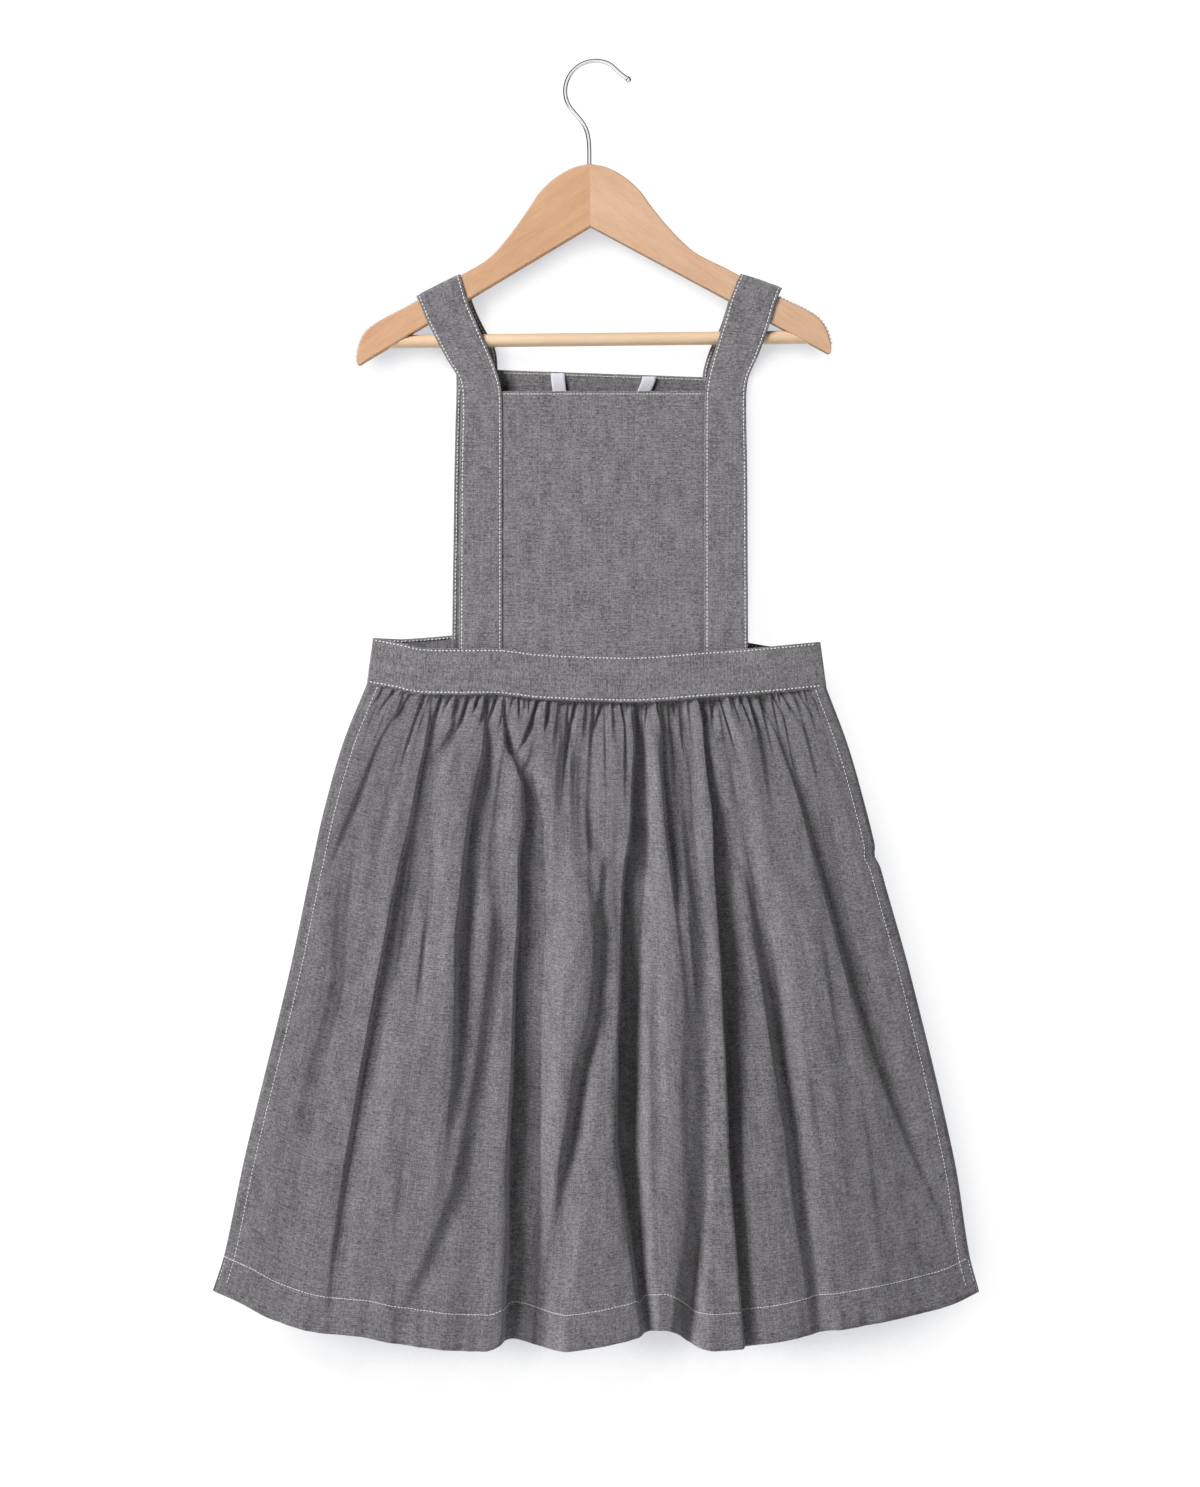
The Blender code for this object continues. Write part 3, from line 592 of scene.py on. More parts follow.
def to_object(name, points, faces, material, uv=None):
    """A mesh object from points in millimetres, with its weave map if uv gives one."""
    mesh = bpy.data.meshes.new(name)
    mesh.from_pydata((np.asarray(points) * MM).tolist(), [], [list(face) for face in faces])
    if uv is not None:
        layer = mesh.uv_layers.new(name="weave")
        corners = np.zeros(len(mesh.loops), np.int32)
        mesh.loops.foreach_get("vertex_index", corners)
        places = np.asarray(uv)[corners] / UV_UNIT
        layer.uv.foreach_set("vector", places.astype(np.float32).ravel())
    mesh.materials.append(material)
    mesh.shade_smooth()
    mesh.update()
    obj = bpy.data.objects.new(name, mesh)
    bpy.context.scene.collection.objects.link(obj)
    return obj


def grid_normals(points):
    """The outward normal at each point of a grid whose rows run down and columns to the right."""
    return unit(np.cross(np.gradient(points, axis=0), np.gradient(points, axis=1)))


def grid_faces(rows, columns):
    index = np.arange(rows * columns).reshape(rows, columns)
    corners = (index[:-1, :-1], index[1:, :-1], index[1:, 1:], index[:-1, 1:])
    return np.stack([corner.ravel() for corner in corners], axis=1)


def grid_lengths(points, axis):
    """How far along a grid each point lies, from the first row or column."""
    steps = np.linalg.norm(np.diff(points, axis=axis), axis=-1)
    first = np.zeros_like(np.take(steps, [0], axis=axis))
    return np.concatenate([first, np.cumsum(steps, axis=axis)], axis=axis)


def weave_map(points, turned=False):
    """Where each point of a grid lies on the flat cloth, whose warp runs down the grid, or across
    it if the piece is cut turned."""
    across = grid_lengths(points, 1).mean(axis=0)
    down = grid_lengths(points, 0).mean(axis=1)
    place = np.stack(np.meshgrid(across, -down), axis=-1).reshape(-1, 2)
    return place[:, ::-1] if turned else place


def border(rows, columns):
    """The indices of a grid's border points, once around it."""
    index = np.arange(rows * columns).reshape(rows, columns)
    return np.concatenate([index[:-1, 0], index[-1, :-1], index[:0:-1, -1], index[0, :0:-1]])


RIM_OUT = 0.4  # a rim stands out by this share of the wall


def shell(name, outer, wall, material, turned=False):
    """A closed thin shell with a rounded rim, from the grid of its outer face."""
    rows, columns = outer.shape[:2]
    count = rows * columns
    inner = outer - grid_normals(outer) * wall
    edge = border(rows, columns)
    row = np.clip(edge // columns, 1, rows - 2)
    column = np.clip(edge % columns, 1, columns - 2)
    flat_outer, flat_inner = outer.reshape(-1, 3), inner.reshape(-1, 3)
    middle = (flat_outer[edge] + flat_inner[edge]) / 2
    outward = unit(middle - (outer[row, column] + inner[row, column]) / 2)
    rim = middle + outward * wall * RIM_OUT
    outer_faces = grid_faces(rows, columns)
    inner_faces = outer_faces[:, ::-1] + count
    on_rim = 2 * count + np.arange(len(edge))
    following = np.roll(edge, -1)
    rim_following = np.roll(on_rim, -1)
    near = np.stack([following, edge, on_rim, rim_following], axis=1)
    far = np.stack([rim_following, on_rim, edge + count, following + count], axis=1)
    uv = weave_map(outer, turned)
    return to_object(
        name,
        np.concatenate([flat_outer, flat_inner, rim]),
        np.concatenate([outer_faces, inner_faces, near, far]),
        material,
        np.concatenate([uv, uv, uv[edge]]),
    )


def on_grid(grid, row, column):
    """Values of a grid at fractional rows and columns."""
    row = np.clip(row, 0, grid.shape[0] - 1.001)
    column = np.clip(column, 0, grid.shape[1] - 1.001)
    r, c = np.floor(row).astype(int), np.floor(column).astype(int)
    a, b = (row - r)[..., None], (column - c)[..., None]
    upper = grid[r, c] * (1 - b) + grid[r, c + 1] * b
    lower = grid[r + 1, c] * (1 - b) + grid[r + 1, c + 1] * b
    return upper * (1 - a) + lower * a


def line_on(grid, row, column):
    """A line across a grid, as points and outward normals."""
    return on_grid(grid, row, column), on_grid(grid_normals(grid), row, column)


def side_line(grid, inset, side):
    """A line down a grid, so far in from its left side (-1) or its right side (1)."""
    run = grid_lengths(grid, 1)
    columns = np.arange(grid.shape[1], dtype=float)
    if side > 0:
        run = (run[:, -1:] - run)[:, ::-1]
        columns = columns[::-1]
    at = np.array([np.interp(inset, row, columns) for row in run])
    return line_on(grid, np.arange(grid.shape[0], dtype=float), at)


def end_line(grid, inset, end):
    """A line across a grid, so far in from its top (-1) or its bottom (1)."""
    points, normals = side_line(grid.transpose(1, 0, 2), inset, end)
    return points, -normals


def part_of(line, first, last):
    return line[0][first:last], line[1][first:last]


def other_face(line):
    """The same line on a shell's inner face."""
    return line[0] - line[1] * WALL, -line[1]


EDGE_STEPS = (0.0, 0.5, 1.1, 1.7, 2.3, 3.0, 4.5)
GROOVE_DEEP = 0.38
GROOVE_HALF = 0.75


def edged_shares(width, between):
    """Shares across a width that lie close together beside its two edges, where stitches run."""
    near = np.array(EDGE_STEPS) / width
    middle = np.linspace(near[-1], 1 - near[-1], between + 2)[1:-1]
    return np.concatenate([near, middle, 1 - near[::-1]])


def groove(distance):
    """The cloth's height beside a row of stitches, which pull it in."""
    return -GROOVE_DEEP * np.exp(-(((distance - STITCH_INSET) / GROOVE_HALF) ** 2))


BEAD_RINGS = ((-1.0, 0.5), (-0.6, 0.95), (0.6, 0.95), (1.0, 0.5))  # place, radius
BEAD_SIDES = 6
STITCH_FLAT = 0.75  # a stitch's height as a share of its width
STITCH_RISE = 0.45  # its middle stands above the cloth by this share of its radius
STITCH_SHIFTED = 0.08  # stitches lie off their even places by up to this share of the pitch
STITCH_LONGER = 0.1  # they differ in length by up to this share
STITCH_ASLANT = 0.1  # and their ends lie this many millimetres to either side


def bead():
    """The points and faces of one stitch, from -1 to 1 along X."""
    turns = 2 * np.pi * np.arange(BEAD_SIDES) / BEAD_SIDES
    points = [(x, r * math.cos(a), r * math.sin(a)) for x, r in BEAD_RINGS for a in turns]
    faces = tube_faces(len(BEAD_RINGS), BEAD_SIDES)
    return np.array(points), faces


def tube_faces(rings, sides):
    """The faces of a closed tube of rings, its flat ends included."""
    faces = []
    for ring in range(rings - 1):
        for n in range(sides):
            a = ring * sides + n
            b = ring * sides + (n + 1) % sides
            faces.append((a, b, b + sides, a + sides))
    faces.append(tuple(range(sides))[::-1])
    faces.append(tuple(range((rings - 1) * sides, rings * sides)))
    return faces


def stitching(name, lines, stitch, material, seed=1):
    """Rows of stitches along lines on the cloth, joined into one piece. A line is its points and
    normals."""
    pitch, length, radius = stitch
    random = np.random.default_rng(seed)
    shape, faces = bead()
    points = []
    for line, normals in lines:
        run = line_lengths(line)
        count = int((run[-1] - length) / pitch)
        shifted = random.uniform(-STITCH_SHIFTED, STITCH_SHIFTED, count)
        at = pitch * (np.arange(count) + 0.5) + shifted * pitch
        place = taken_at(at, run, line)
        up = unit(taken_at(at, run, normals))
        along = taken_at(at + 0.6, run, line) - place
        along = unit(along - up * (along * up).sum(1, keepdims=True))
        side = np.cross(up, along)
        long = (length / 2) * random.uniform(1 - STITCH_LONGER, 1 + STITCH_LONGER, count)
        for n in range(count):
            x = along[n] * long[n] + side[n] * random.uniform(-STITCH_ASLANT, STITCH_ASLANT)
            body = np.outer(shape[:, 0], x) + np.outer(shape[:, 1], side[n] * radius)
            body += np.outer(shape[:, 2], up[n] * radius * STITCH_FLAT)
            points.append(place[n] + up[n] * radius * STITCH_RISE + body)
    firsts = range(0, len(points) * len(shape), len(shape))
    all_faces = [[first + corner for corner in face] for first in firsts for face in faces]
    return to_object(name, np.concatenate(points), all_faces, material)


# ------------------------------------------------------------ materials


class Nodes:
    """A short way to write the nodes of a material or a world."""

    def __init__(self, owner, shader="Principled BSDF"):
        owner.use_nodes = True
        self.owner = owner
        self.tree = owner.node_tree
        self.shader = self.tree.nodes[shader]

    def add(self, kind, **settings):
        node = self.tree.nodes.new(kind)
        for key, value in settings.items():
            setattr(node, key, value)
        return node

    def link(self, source, target):
        self.tree.links.new(source, target)

    def set(self, **values):
        for key, value in values.items():
            name = key.replace("_", " ").title().replace("Ior", "IOR")
            self.shader.inputs[name].default_value = value

    def object_place(self):
        return self.add("ShaderNodeTexCoord").outputs["Object"]

    def axis(self, vector, name):
        node = self.add("ShaderNodeSeparateXYZ")
        self.link(vector, node.inputs["Vector"])
        return node.outputs[name]

    def mapped(self, source, scale=(1.0, 1.0, 1.0), turn=(0.0, 0.0, 0.0)):
        """Coordinates of a source, scaled and turned."""
        mapping = self.add("ShaderNodeMapping")
        mapping.inputs["Scale"].default_value = scale
        mapping.inputs["Rotation"].default_value = turn
        self.link(source, mapping.inputs["Vector"])
        return mapping.outputs["Vector"]

    def noise(self, source, scale, detail=3.0, turn=0.0):
        """Noise with so many cells in a unit of each axis of its source, turned about Z."""
        texture = self.add("ShaderNodeTexNoise")
        texture.inputs["Scale"].default_value = 1.0
        texture.inputs["Detail"].default_value = detail
        self.link(self.mapped(source, scale, (0.0, 0.0, turn)), texture.inputs["Vector"])
        return texture.outputs["Fac"]

    def math(self, kind, *values):
        node = self.add("ShaderNodeMath", operation=kind)
        for socket, value in zip(node.inputs, values):
            if isinstance(value, (int, float)):
                socket.default_value = value
            else:
                self.link(value, socket)
        return node.outputs["Value"]

    def spread(self, source, *ranges):
        """A source carried over to another range: its least and greatest, and the new ones."""
        node = self.add("ShaderNodeMapRange")
        for socket, value in zip(node.inputs[1:5], ranges):
            socket.default_value = value
        self.link(source, node.inputs["Value"])
        return node.outputs["Result"]

    def weighted(self, *terms):
        """The sum of sources, each less a half and times its weight."""
        total = None
        for source, weight in terms:
            term = self.math("MULTIPLY", self.math("SUBTRACT", source, 0.5), weight)
            total = term if total is None else self.math("ADD", total, term)
        return total

    def ramp(self, source, *stops):
        ramp = self.add("ShaderNodeValToRGB")
        elements = ramp.color_ramp.elements
        for element, (place, colour) in zip(elements, (stops[0], stops[-1])):
            element.position = place
            element.color = (*colour, 1.0)
        for place, colour in stops[1:-1]:
            elements.new(place).color = (*colour, 1.0)
        self.link(source, ramp.inputs["Fac"])
        return ramp.outputs["Color"]

    def colour(self, source):
        self.link(source, self.shader.inputs["Base Color"])

    def uneven_roughness(self, scale, least):
        """A roughness from the least one to twice that, with fine noise."""
        noise = self.noise(self.object_place(), scale, 2.0)
        rough = self.math("ADD", self.math("MULTIPLY", noise, least), least)
        self.link(rough, self.shader.inputs["Roughness"])

    def bump(self, height, distance, strength):
        node = self.add("ShaderNodeBump")
        node.inputs["Strength"].default_value = strength
        node.inputs["Distance"].default_value = distance
        self.link(height, node.inputs["Height"])
        self.link(node.outputs["Normal"], self.shader.inputs["Normal"])

    def mixed_shaders(self, *sources):
        """Two shaders mixed by a factor, which comes first."""
        mix = self.add("ShaderNodeMixShader")
        for source, socket in zip(sources, mix.inputs):
            self.link(source, socket)
        return mix.outputs["Shader"]


def material_nodes(name):
    return Nodes(bpy.data.materials.new(name))


# the chambray's unevenness: how long its marks are across and down the cloth, in millimetres, their
# detail, turn and weight
WEAVE = (
    (3.0, 0.5, 3.0, 0, 1.3),
    (0.5, 3.5, 3.0, 0, 0.9),
    (0.5, 0.5, 2.0, 0, 1.3),
    (14.0, 1.2, 2.0, 0, 0.6),
    (1.3, 45.0, 2.0, 0, 0.35),
    (9.0, 22.0, 2.0, 35, 0.35),
)
RAISED = 3  # only the first of them, the threads, are raised

CHAMBRAY = ((0.068, 0.068, 0.075), (0.236, 0.224, 0.230), (0.405, 0.400, 0.425))
# a darker copy of the same chambray, for the skirt: shade painted over all its cloth
SHADED_CHAMBRAY = ((0.060, 0.060, 0.067), (0.205, 0.194, 0.200), (0.352, 0.347, 0.370))

# a wood's pale and deep grain, the painted shade on its sides and rounded edges, its grain's turn about
# Y, and its pores' weight
LEFT_BEECH = ((0.64, 0.39, 0.24), (0.52, 0.29, 0.16), (0.56, 0.29, 0.135), 0.6, 0.7)
RIGHT_BEECH = ((0.69, 0.46, 0.315), (0.59, 0.36, 0.22), (0.58, 0.32, 0.16), -0.6, 0.9)
PALE_WOOD = ((0.81, 0.61, 0.42), (0.70, 0.49, 0.305), (0.74, 0.525, 0.335), 0.0, 0.4)


def chambray(name, dark, middle, light):
    """Cotton woven from a dark warp and a pale weft, uneven in both directions."""
    nodes = material_nodes(name)
    uv = nodes.add("ShaderNodeUVMap", uv_map="weave").outputs["UV"]
    marks = []
    for across, down, detail, turn, weight in WEAVE:
        scale = (UV_UNIT / across, UV_UNIT / down, 1.0)
        marks.append((nodes.noise(uv, scale, detail, math.radians(turn)), weight))
    uneven = nodes.math("ADD", nodes.weighted(*marks), 0.5)
    nodes.colour(nodes.ramp(uneven, (0.15, dark), (0.5, middle), (0.85, light)))
    threads = nodes.weighted(*((mark, 0.6) for mark, _ in marks[:RAISED]))
    nodes.bump(threads, 0.00015, 0.7)
    nodes.set(roughness=0.9, diffuse_roughness=1.0, specular_ior_level=0.05)
    nodes.set(sheen_weight=0.12, sheen_roughness=0.6)
    return nodes.owner


def thread():
    nodes = material_nodes("sewing_thread")
    twist = nodes.noise(nodes.object_place(), (2500.0, 2500.0, 2500.0), 1.0)
    nodes.colour(nodes.ramp(twist, (0.3, (0.74, 0.73, 0.74)), (0.7, (0.90, 0.89, 0.90))))
    nodes.set(roughness=0.7, specular_ior_level=0.3)
    return nodes.owner


def twill_tape():
    nodes = material_nodes("twill_tape")
    uv = nodes.add("ShaderNodeUVMap", uv_map="weave").outputs["UV"]
    twill = nodes.add("ShaderNodeTexWave", wave_type="BANDS", bands_direction="X")
    twill.inputs["Scale"].default_value = 1.0
    twill.inputs["Distortion"].default_value = 0.4
    slanted = nodes.mapped(uv, (35.0, 35.0, 1.0), (0.0, 0.0, math.radians(40)))
    nodes.link(slanted, twill.inputs["Vector"])
    fuzz = nodes.noise(uv, (180.0, 180.0, 1.0), 2.0)
    mixed = nodes.weighted((twill.outputs["Fac"], 0.35), (fuzz, 0.5))
    uneven = nodes.math("ADD", mixed, 0.5)
    nodes.colour(nodes.ramp(uneven, (0.2, (0.62, 0.61, 0.66)), (0.8, (0.78, 0.77, 0.83))))
    nodes.bump(mixed, 0.0001, 0.6)
    nodes.set(roughness=0.85, specular_ior_level=0.2)
    return nodes.owner


def wood(name, pale, deep, edge, turn, pores_weight):
    """Lacquered wood whose grain runs along X after the turn, with painted shade: darker and more
    orange on its sides and rounded edges.
    """
    nodes = material_nodes(name)
    along = nodes.mapped(nodes.object_place(), turn=(0.0, turn, 0.0))
    rings = nodes.noise(along, (9.0, 60.0, 150.0), 4.0)
    pores = nodes.noise(along, (120.0, 900.0, 1300.0), 3.0)
    cloud = nodes.noise(along, (18.0, 18.0, 30.0), 2.0)
    uneven = nodes.weighted((rings, 0.9), (pores, pores_weight), (cloud, 0.6))
    grain = nodes.ramp(nodes.math("ADD", uneven, 0.5), (0.15, deep), (0.75, pale))
    # painted shade: faces turned away from front and back take the darker edge colour
    normal_y = nodes.axis(nodes.add("ShaderNodeNewGeometry").outputs["Normal"], "Y")
    edge_shade = nodes.math("SUBTRACT", 1.0, nodes.math("ABSOLUTE", normal_y))
    mix = nodes.add("ShaderNodeMix", data_type="RGBA")
    nodes.link(nodes.math("MULTIPLY", edge_shade, 0.8), mix.inputs["Factor"])
    nodes.link(grain, mix.inputs[6])
    mix.inputs[7].default_value = (*edge, 1.0)
    nodes.colour(mix.outputs[2])
    nodes.bump(pores, 0.0001, 0.3)
    nodes.set(roughness=0.42, specular_ior_level=0.4, coat_weight=0.15, coat_roughness=0.3)
    return nodes.owner


def chrome():
    nodes = material_nodes("chrome_wire")
    nodes.uneven_roughness((900.0, 900.0, 200.0), 0.08)
    nodes.set(base_color=(0.86, 0.84, 0.84, 1.0), metallic=1.0)
    return nodes.owner


def clear_plastic():
    nodes = material_nodes("clear_grip")
    nodes.uneven_roughness((600.0, 600.0, 600.0), 0.2)
    nodes.set(base_color=(0.78, 0.76, 0.73, 1.0), alpha=0.33, ior=1.45)
    return nodes.owner


# ------------------------------------------------------------ the skirt


def band_lift(t, side):
    """How much higher a waistband hangs at t than the front one's lowest place."""
    return read_table(BAND_LIFTS, t)[0 if side > 0 else 1]


def crease_left(x, z, drop, side):
    """The share of the skirt's depth that is left between its creases."""
    left = np.ones_like(x)
    opened = CREASE_TIGHT + (1 - CREASE_TIGHT) * ease(drop / CREASE_OPEN)
    upper, lower = CREASE_DEPTHS
    deeper = upper + (lower - upper) * ease((drop - CREASE_CHANGE[0]) / CREASE_CHANGE[1])
    for number, (_, wide_left, wide_right, sharp, points) in enumerate(CREASES):
        rows = [(height, *values) for height, *values in reversed(points)]
        edge, floor, depth = read_table(rows, z)
        if side < 0:
            moved, step = BACK_CREASE_SHIFT
            edge = edge + moved * math.sin(step * number)
            fainter, step = BACK_CREASE_FAINT
            depth = depth * (1 - fainter + fainter * math.sin(step * number))
        depth = np.clip(deeper * depth, 0.0, CREASE_DEEPEST)
        off = np.where(
            x < edge,
            (edge - x) / (wide_left * opened),
            np.maximum(x - edge - floor, 0.0) / (RIGHT_SPREAD * wide_right * opened),
        )
        across = np.clip((x - edge) / np.maximum(floor, 4.0), 0.0, 1.0)
        fallen = 1 - FLOOR_FALL * (1 - sharp) * (1 - across)
        keen = (1 - np.clip(off, 0.0, 1.0)) ** KEEN_POWER
        trough = sharp * keen + (1 - sharp) * hump(off)
        trough += CREASE_SHOULDERED * (1 - sharp) * (hump(off / CREASE_SHOULDER) - trough)
        top, bottom, last_depth = rows[-1][0], rows[0][0], rows[0][3]
        inside = ease((top + 4.0 - z) / 8.0)
        if last_depth == 0:
            inside = inside * ease((z - bottom + 12.0) / 12.0)
        left *= 1 - depth * inside * trough * fallen
    return left


def gather_rows(side):
    """The gathers of one panel: place at the seam, place at its end, where it begins below the
    seam, length, half width and depth."""
    random = np.random.default_rng(7 if side > 0 else 11)
    longer, wider, deeper = GATHER_SCALES
    rows = []
    for start, end, length, half, depth in GATHERS:
        rows.append((start, end, 0.0, longer * length, wider * half, deeper * depth))
    for lengths, narrow, wide, shallow, deep in SMALL_GATHERS:
        place = -GATHERED_HALF
        while place < GATHERED_HALF:
            pitch = random.uniform(narrow, wide)
            length = random.choice(lengths) * random.uniform(0.8, 1.2)
            end = place + random.uniform(-0.4, 0.4) * pitch
            rows.append((place, end, 0.0, length, 0.8 * pitch, random.uniform(shallow, deep)))
            place += pitch
    return rows


def small_fold_rows(side):
    random = np.random.default_rng(17 if side > 0 else 21)
    rows = []
    for place in np.linspace(-160, 160, SMALL_FOLDS):
        start = place + random.uniform(-5, 5)
        end = start + random.uniform(-6, 6)
        begin = random.choice(SMALL_FOLD_STARTS) * random.uniform(0.7, 1.3)
        length = random.uniform(*SMALL_FOLD_LENGTH)
        half = random.uniform(*SMALL_FOLD_HALF)
        rows.append((start, end, begin, length, half, random.uniform(*SMALL_FOLD_DEPTH)))
    return rows


def pulled_in(x, drop, rows, keen):
    """How far gathers, which are keen, or small folds pull the cloth in. x is measured at the
    seam."""
    total = np.zeros_like(x)
    left, right = GATHER_SIDES if keen else FOLD_SIDES
    for start, end, begin, length, half, depth in rows:
        share = (drop - begin) / length
        line = start + (end - start) * share
        widened = half * (1 + 0.6 * ease(share))
        off = np.where(x < line, (line - x) / (left * widened), (x - line) / (right * widened))
        profile = hump(off)
        rise = ease(share / FOLD_RISE)
        if keen:
            profile = 0.5 * (1 - np.clip(off, 0.0, 1.0)) ** 1.7 + 0.5 * profile
            rise = ease(drop / GATHER_RISE)
        strength = rise * (1 - ease((share - 0.35) / 0.65))
        pull = depth * strength * profile
        total = np.maximum(total, pull) + 0.35 * np.minimum(total, pull)
    return total


def skirt_grid(side):
    """One skirt panel's outer face, as a grid from just inside the waistband to the hem, and each
    point's height above the hem. side is 1 for the front and -1 for the back."""
    s = np.linspace(0, 1, SKIRT_GRID_ROWS)
    shares = ROWS_EVEN * s + (1 - ROWS_EVEN) * s**ROWS_POWER
    tucked = -TUCK_LENGTH / SKIRT_FALL
    shares = np.concatenate([[tucked, tucked / 2], shares])
    down, t_seen = np.meshgrid(shares, np.linspace(-1, 1, SKIRT_COLUMNS), indexing="ij")
    t = t_seen * side
    left, right, depth, square = read_table(SKIRT_ROWS, down)
    x = left + (right - left) * (t + 1) / 2
    top = BAND_BOTTOM + band_lift(t, side)
    hem = read_table(HEM_EDGE, t)[0]
    if side < 0:
        hem = hem + BACK_HEM_LIFT * (1 - np.abs(t) ** 4)
    z = top + (hem - top) * down
    drop = top - z
    above_hem = z - hem
    seen = x * side
    at_seam = t_seen * BAND_BOTTOM_HALF
    free = 1 - np.abs(t) ** square
    edge = 1 - np.abs(t) ** 8
    height = SKIRT_FULLER * depth * free * crease_left(seen, z, drop, side)
    height -= pulled_in(at_seam, drop, gather_rows(side), True) * edge
    height -= pulled_in(at_seam, drop, small_fold_rows(side), False) * free
    height += wave(at_seam, z, SKIRT_BROAD, 3) * free * ease(drop / 70.0)
    height += wave(at_seam, z, SKIRT_FINE, 4) * edge * ease(drop / 30.0)
    height -= HEM_GROOVE * np.exp(-((above_hem - HEM_DEEP) ** 2) / 8.0) * edge
    height += wave(seen, z, HEM_PUCKER, 5) * ease((HEM_DEEP - above_hem) / 8.0) * edge
    height -= TUCK * (1 - ease(drop / 3.0)) * edge
    height = np.maximum(height, -WALL * edge)
    meet = ease((1 - np.abs(t)) / 0.012)
    y = -side * (SEAM_Y * meet + height + 0.05)
    x = x - DENT_DEEP * np.exp(-(((z - DENT_Z) / DENT_LONG) ** 2)) * np.clip(t, 0.0, 1.0) ** 12
    x = x + side * RIDGE_LEAN * (1 - LEAN_LOST * ease((drop - 120) / 250)) * height
    return np.stack([x, y, z], axis=-1), above_hem


def turn_up(grid, above_hem):
    """The same grid with the hem turned up behind it."""
    rows = int((above_hem[:, SKIRT_COLUMNS // 2] < HEM_DEEP).sum())
    inner = (grid - grid_normals(grid) * HEM_TURN)[-rows:][::-1]
    fold = (grid[-1] + inner[0]) / 2 + np.array((0.0, 0.0, -HEM_ROUND))
    return np.concatenate([grid, fold[None], inner])


def add_skirt(side, cloth, white):
    name = f"skirt_{FACES[side]}"
    grid, above_hem = skirt_grid(side)
    whole = turn_up(grid, above_hem)
    faces = grid_faces(*whole.shape[:2])
    skirt = to_object(f"{name}_cloth", whole.reshape(-1, 3), faces, cloth, weave_map(whole))
    hem = stitching(f"{name}_hem_stitches", [end_line(grid, HEM_DEEP, 1)], HEM_STITCH, white, 5)
    in_hem = -int((above_hem[:, 0] < HEM_DEEP).sum())
    seams = []
    for edge in (-1, 1):
        seams.append(part_of(side_line(grid, SIDE_STITCH_INSET, edge), 3, -1))
        seams.append(part_of(side_line(grid, HEM_SIDE_INSET, edge), in_hem, -1))
    seam = stitching(f"{name}_seam_stitches", seams, SEAM_STITCH, white, 6)
    finish_sheet(skirt, name, *SKIRT_CUT, "gathered", [hem, seam])


# ------------------------------------------------------------ bibs, straps, waistbands, tape


def stand_for(obj, node):
    """Puts a piece in the frame, in place of a node."""
    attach(obj, "root")
    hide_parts(node)


def finish_sheet(cloth, node, width, length, held, stitches, slot="chambray", rests_on=()):
    """Puts a cloth piece and its stitches in the frame. Its size when it is laid flat is given but not
    used.
    """
    stand_for(cloth, node)
    for piece in stitches:
        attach(piece, "root")


def back_shift(z):
    """How far along X the back bib and the straps' back halves are moved."""
    high, low = BACK_SHIFT
    return np.interp(z, (BIB_BOTTOM, BIB_TOP, BIB_TOP + 40.0), (low, high, 0.0))


def strap_half(side, front):
    """A strap's front or back half, going up, as pairs of points on its two edges."""
    inner_x, inner_z, outer_x, outer_z, hang = curve_through(STRAP_EDGES, 9).T
    y, raised, shift, wide, reach_in = -STRAP_Y, 0.0, 0.0, 0.0, 0.0
    if not front:
        y, raised, shift = STRAP_Y, BACK_RAISE * (1 - ease(hang)), back_shift(inner_z)
        wide = BACK_SPREAD * (1 - hang)
        reach_in = STRAP_FOLDS[side][0][2] * ease(hang / 0.4)
    pair = []
    for x, z in ((inner_x - reach_in + wide, inner_z + raised), (outer_x + wide, outer_z + raised)):
        straight = np.stack([BIB_X + shift + side * x, z])
        tilted = np.stack(hanger_point(STRAP_SLIDE, z - APEX[1]))
        out, up = side * x * math.cos(TILT), z - tilted[1] + side * x * math.sin(TILT)
        x, z = (1 - hang) * straight + hang * (tilted + np.stack([out, up]))
        pair.append(np.stack([x, np.full_like(x, y), z], axis=-1))
    return np.stack(pair, axis=1)


def strap_fold(side):
    """A strap's fold over its arm, from front to back, as pairs of points on its two edges."""
    angle = np.linspace(0, math.pi, 41)
    y = -STRAP_Y * np.sign(np.cos(angle)) * np.abs(np.cos(angle)) ** STRAP_SQUARE
    up = np.sin(angle) ** STRAP_SQUARE
    pair = []
    for out, lift, back_in in STRAP_FOLDS[side]:
        at = STRAP_SLIDE + side * out
        slope = (arm_top(at + 1) - arm_top(at - 1)) / 2
        normal = np.array((-slope, 1.0)) / math.hypot(slope, 1.0)
        reach = up * (lift + STRAP_WRAP) - STRAP_WRAP
        x, z = hanger_point(at + normal[0] * reach, arm_top(at) + normal[1] * reach)
        pair.append(np.stack([x - side * back_in * angle / math.pi, y, z], axis=-1))
    return np.stack(pair, axis=1)


def evenly(line, rows):
    """A line of point pairs, taken again at even distances and softened a little."""
    run = line_lengths(line.mean(axis=1))
    flat = taken_at(np.linspace(0, run[-1], rows), run, line.reshape(len(line), -1))
    line = flat.reshape(rows, *line.shape[1:])
    for _ in range(3):
        line[1:-1, :, 0] = (line[:-2, :, 0] + 2 * line[1:-1, :, 0] + line[2:, :, 0]) / 4
    return line


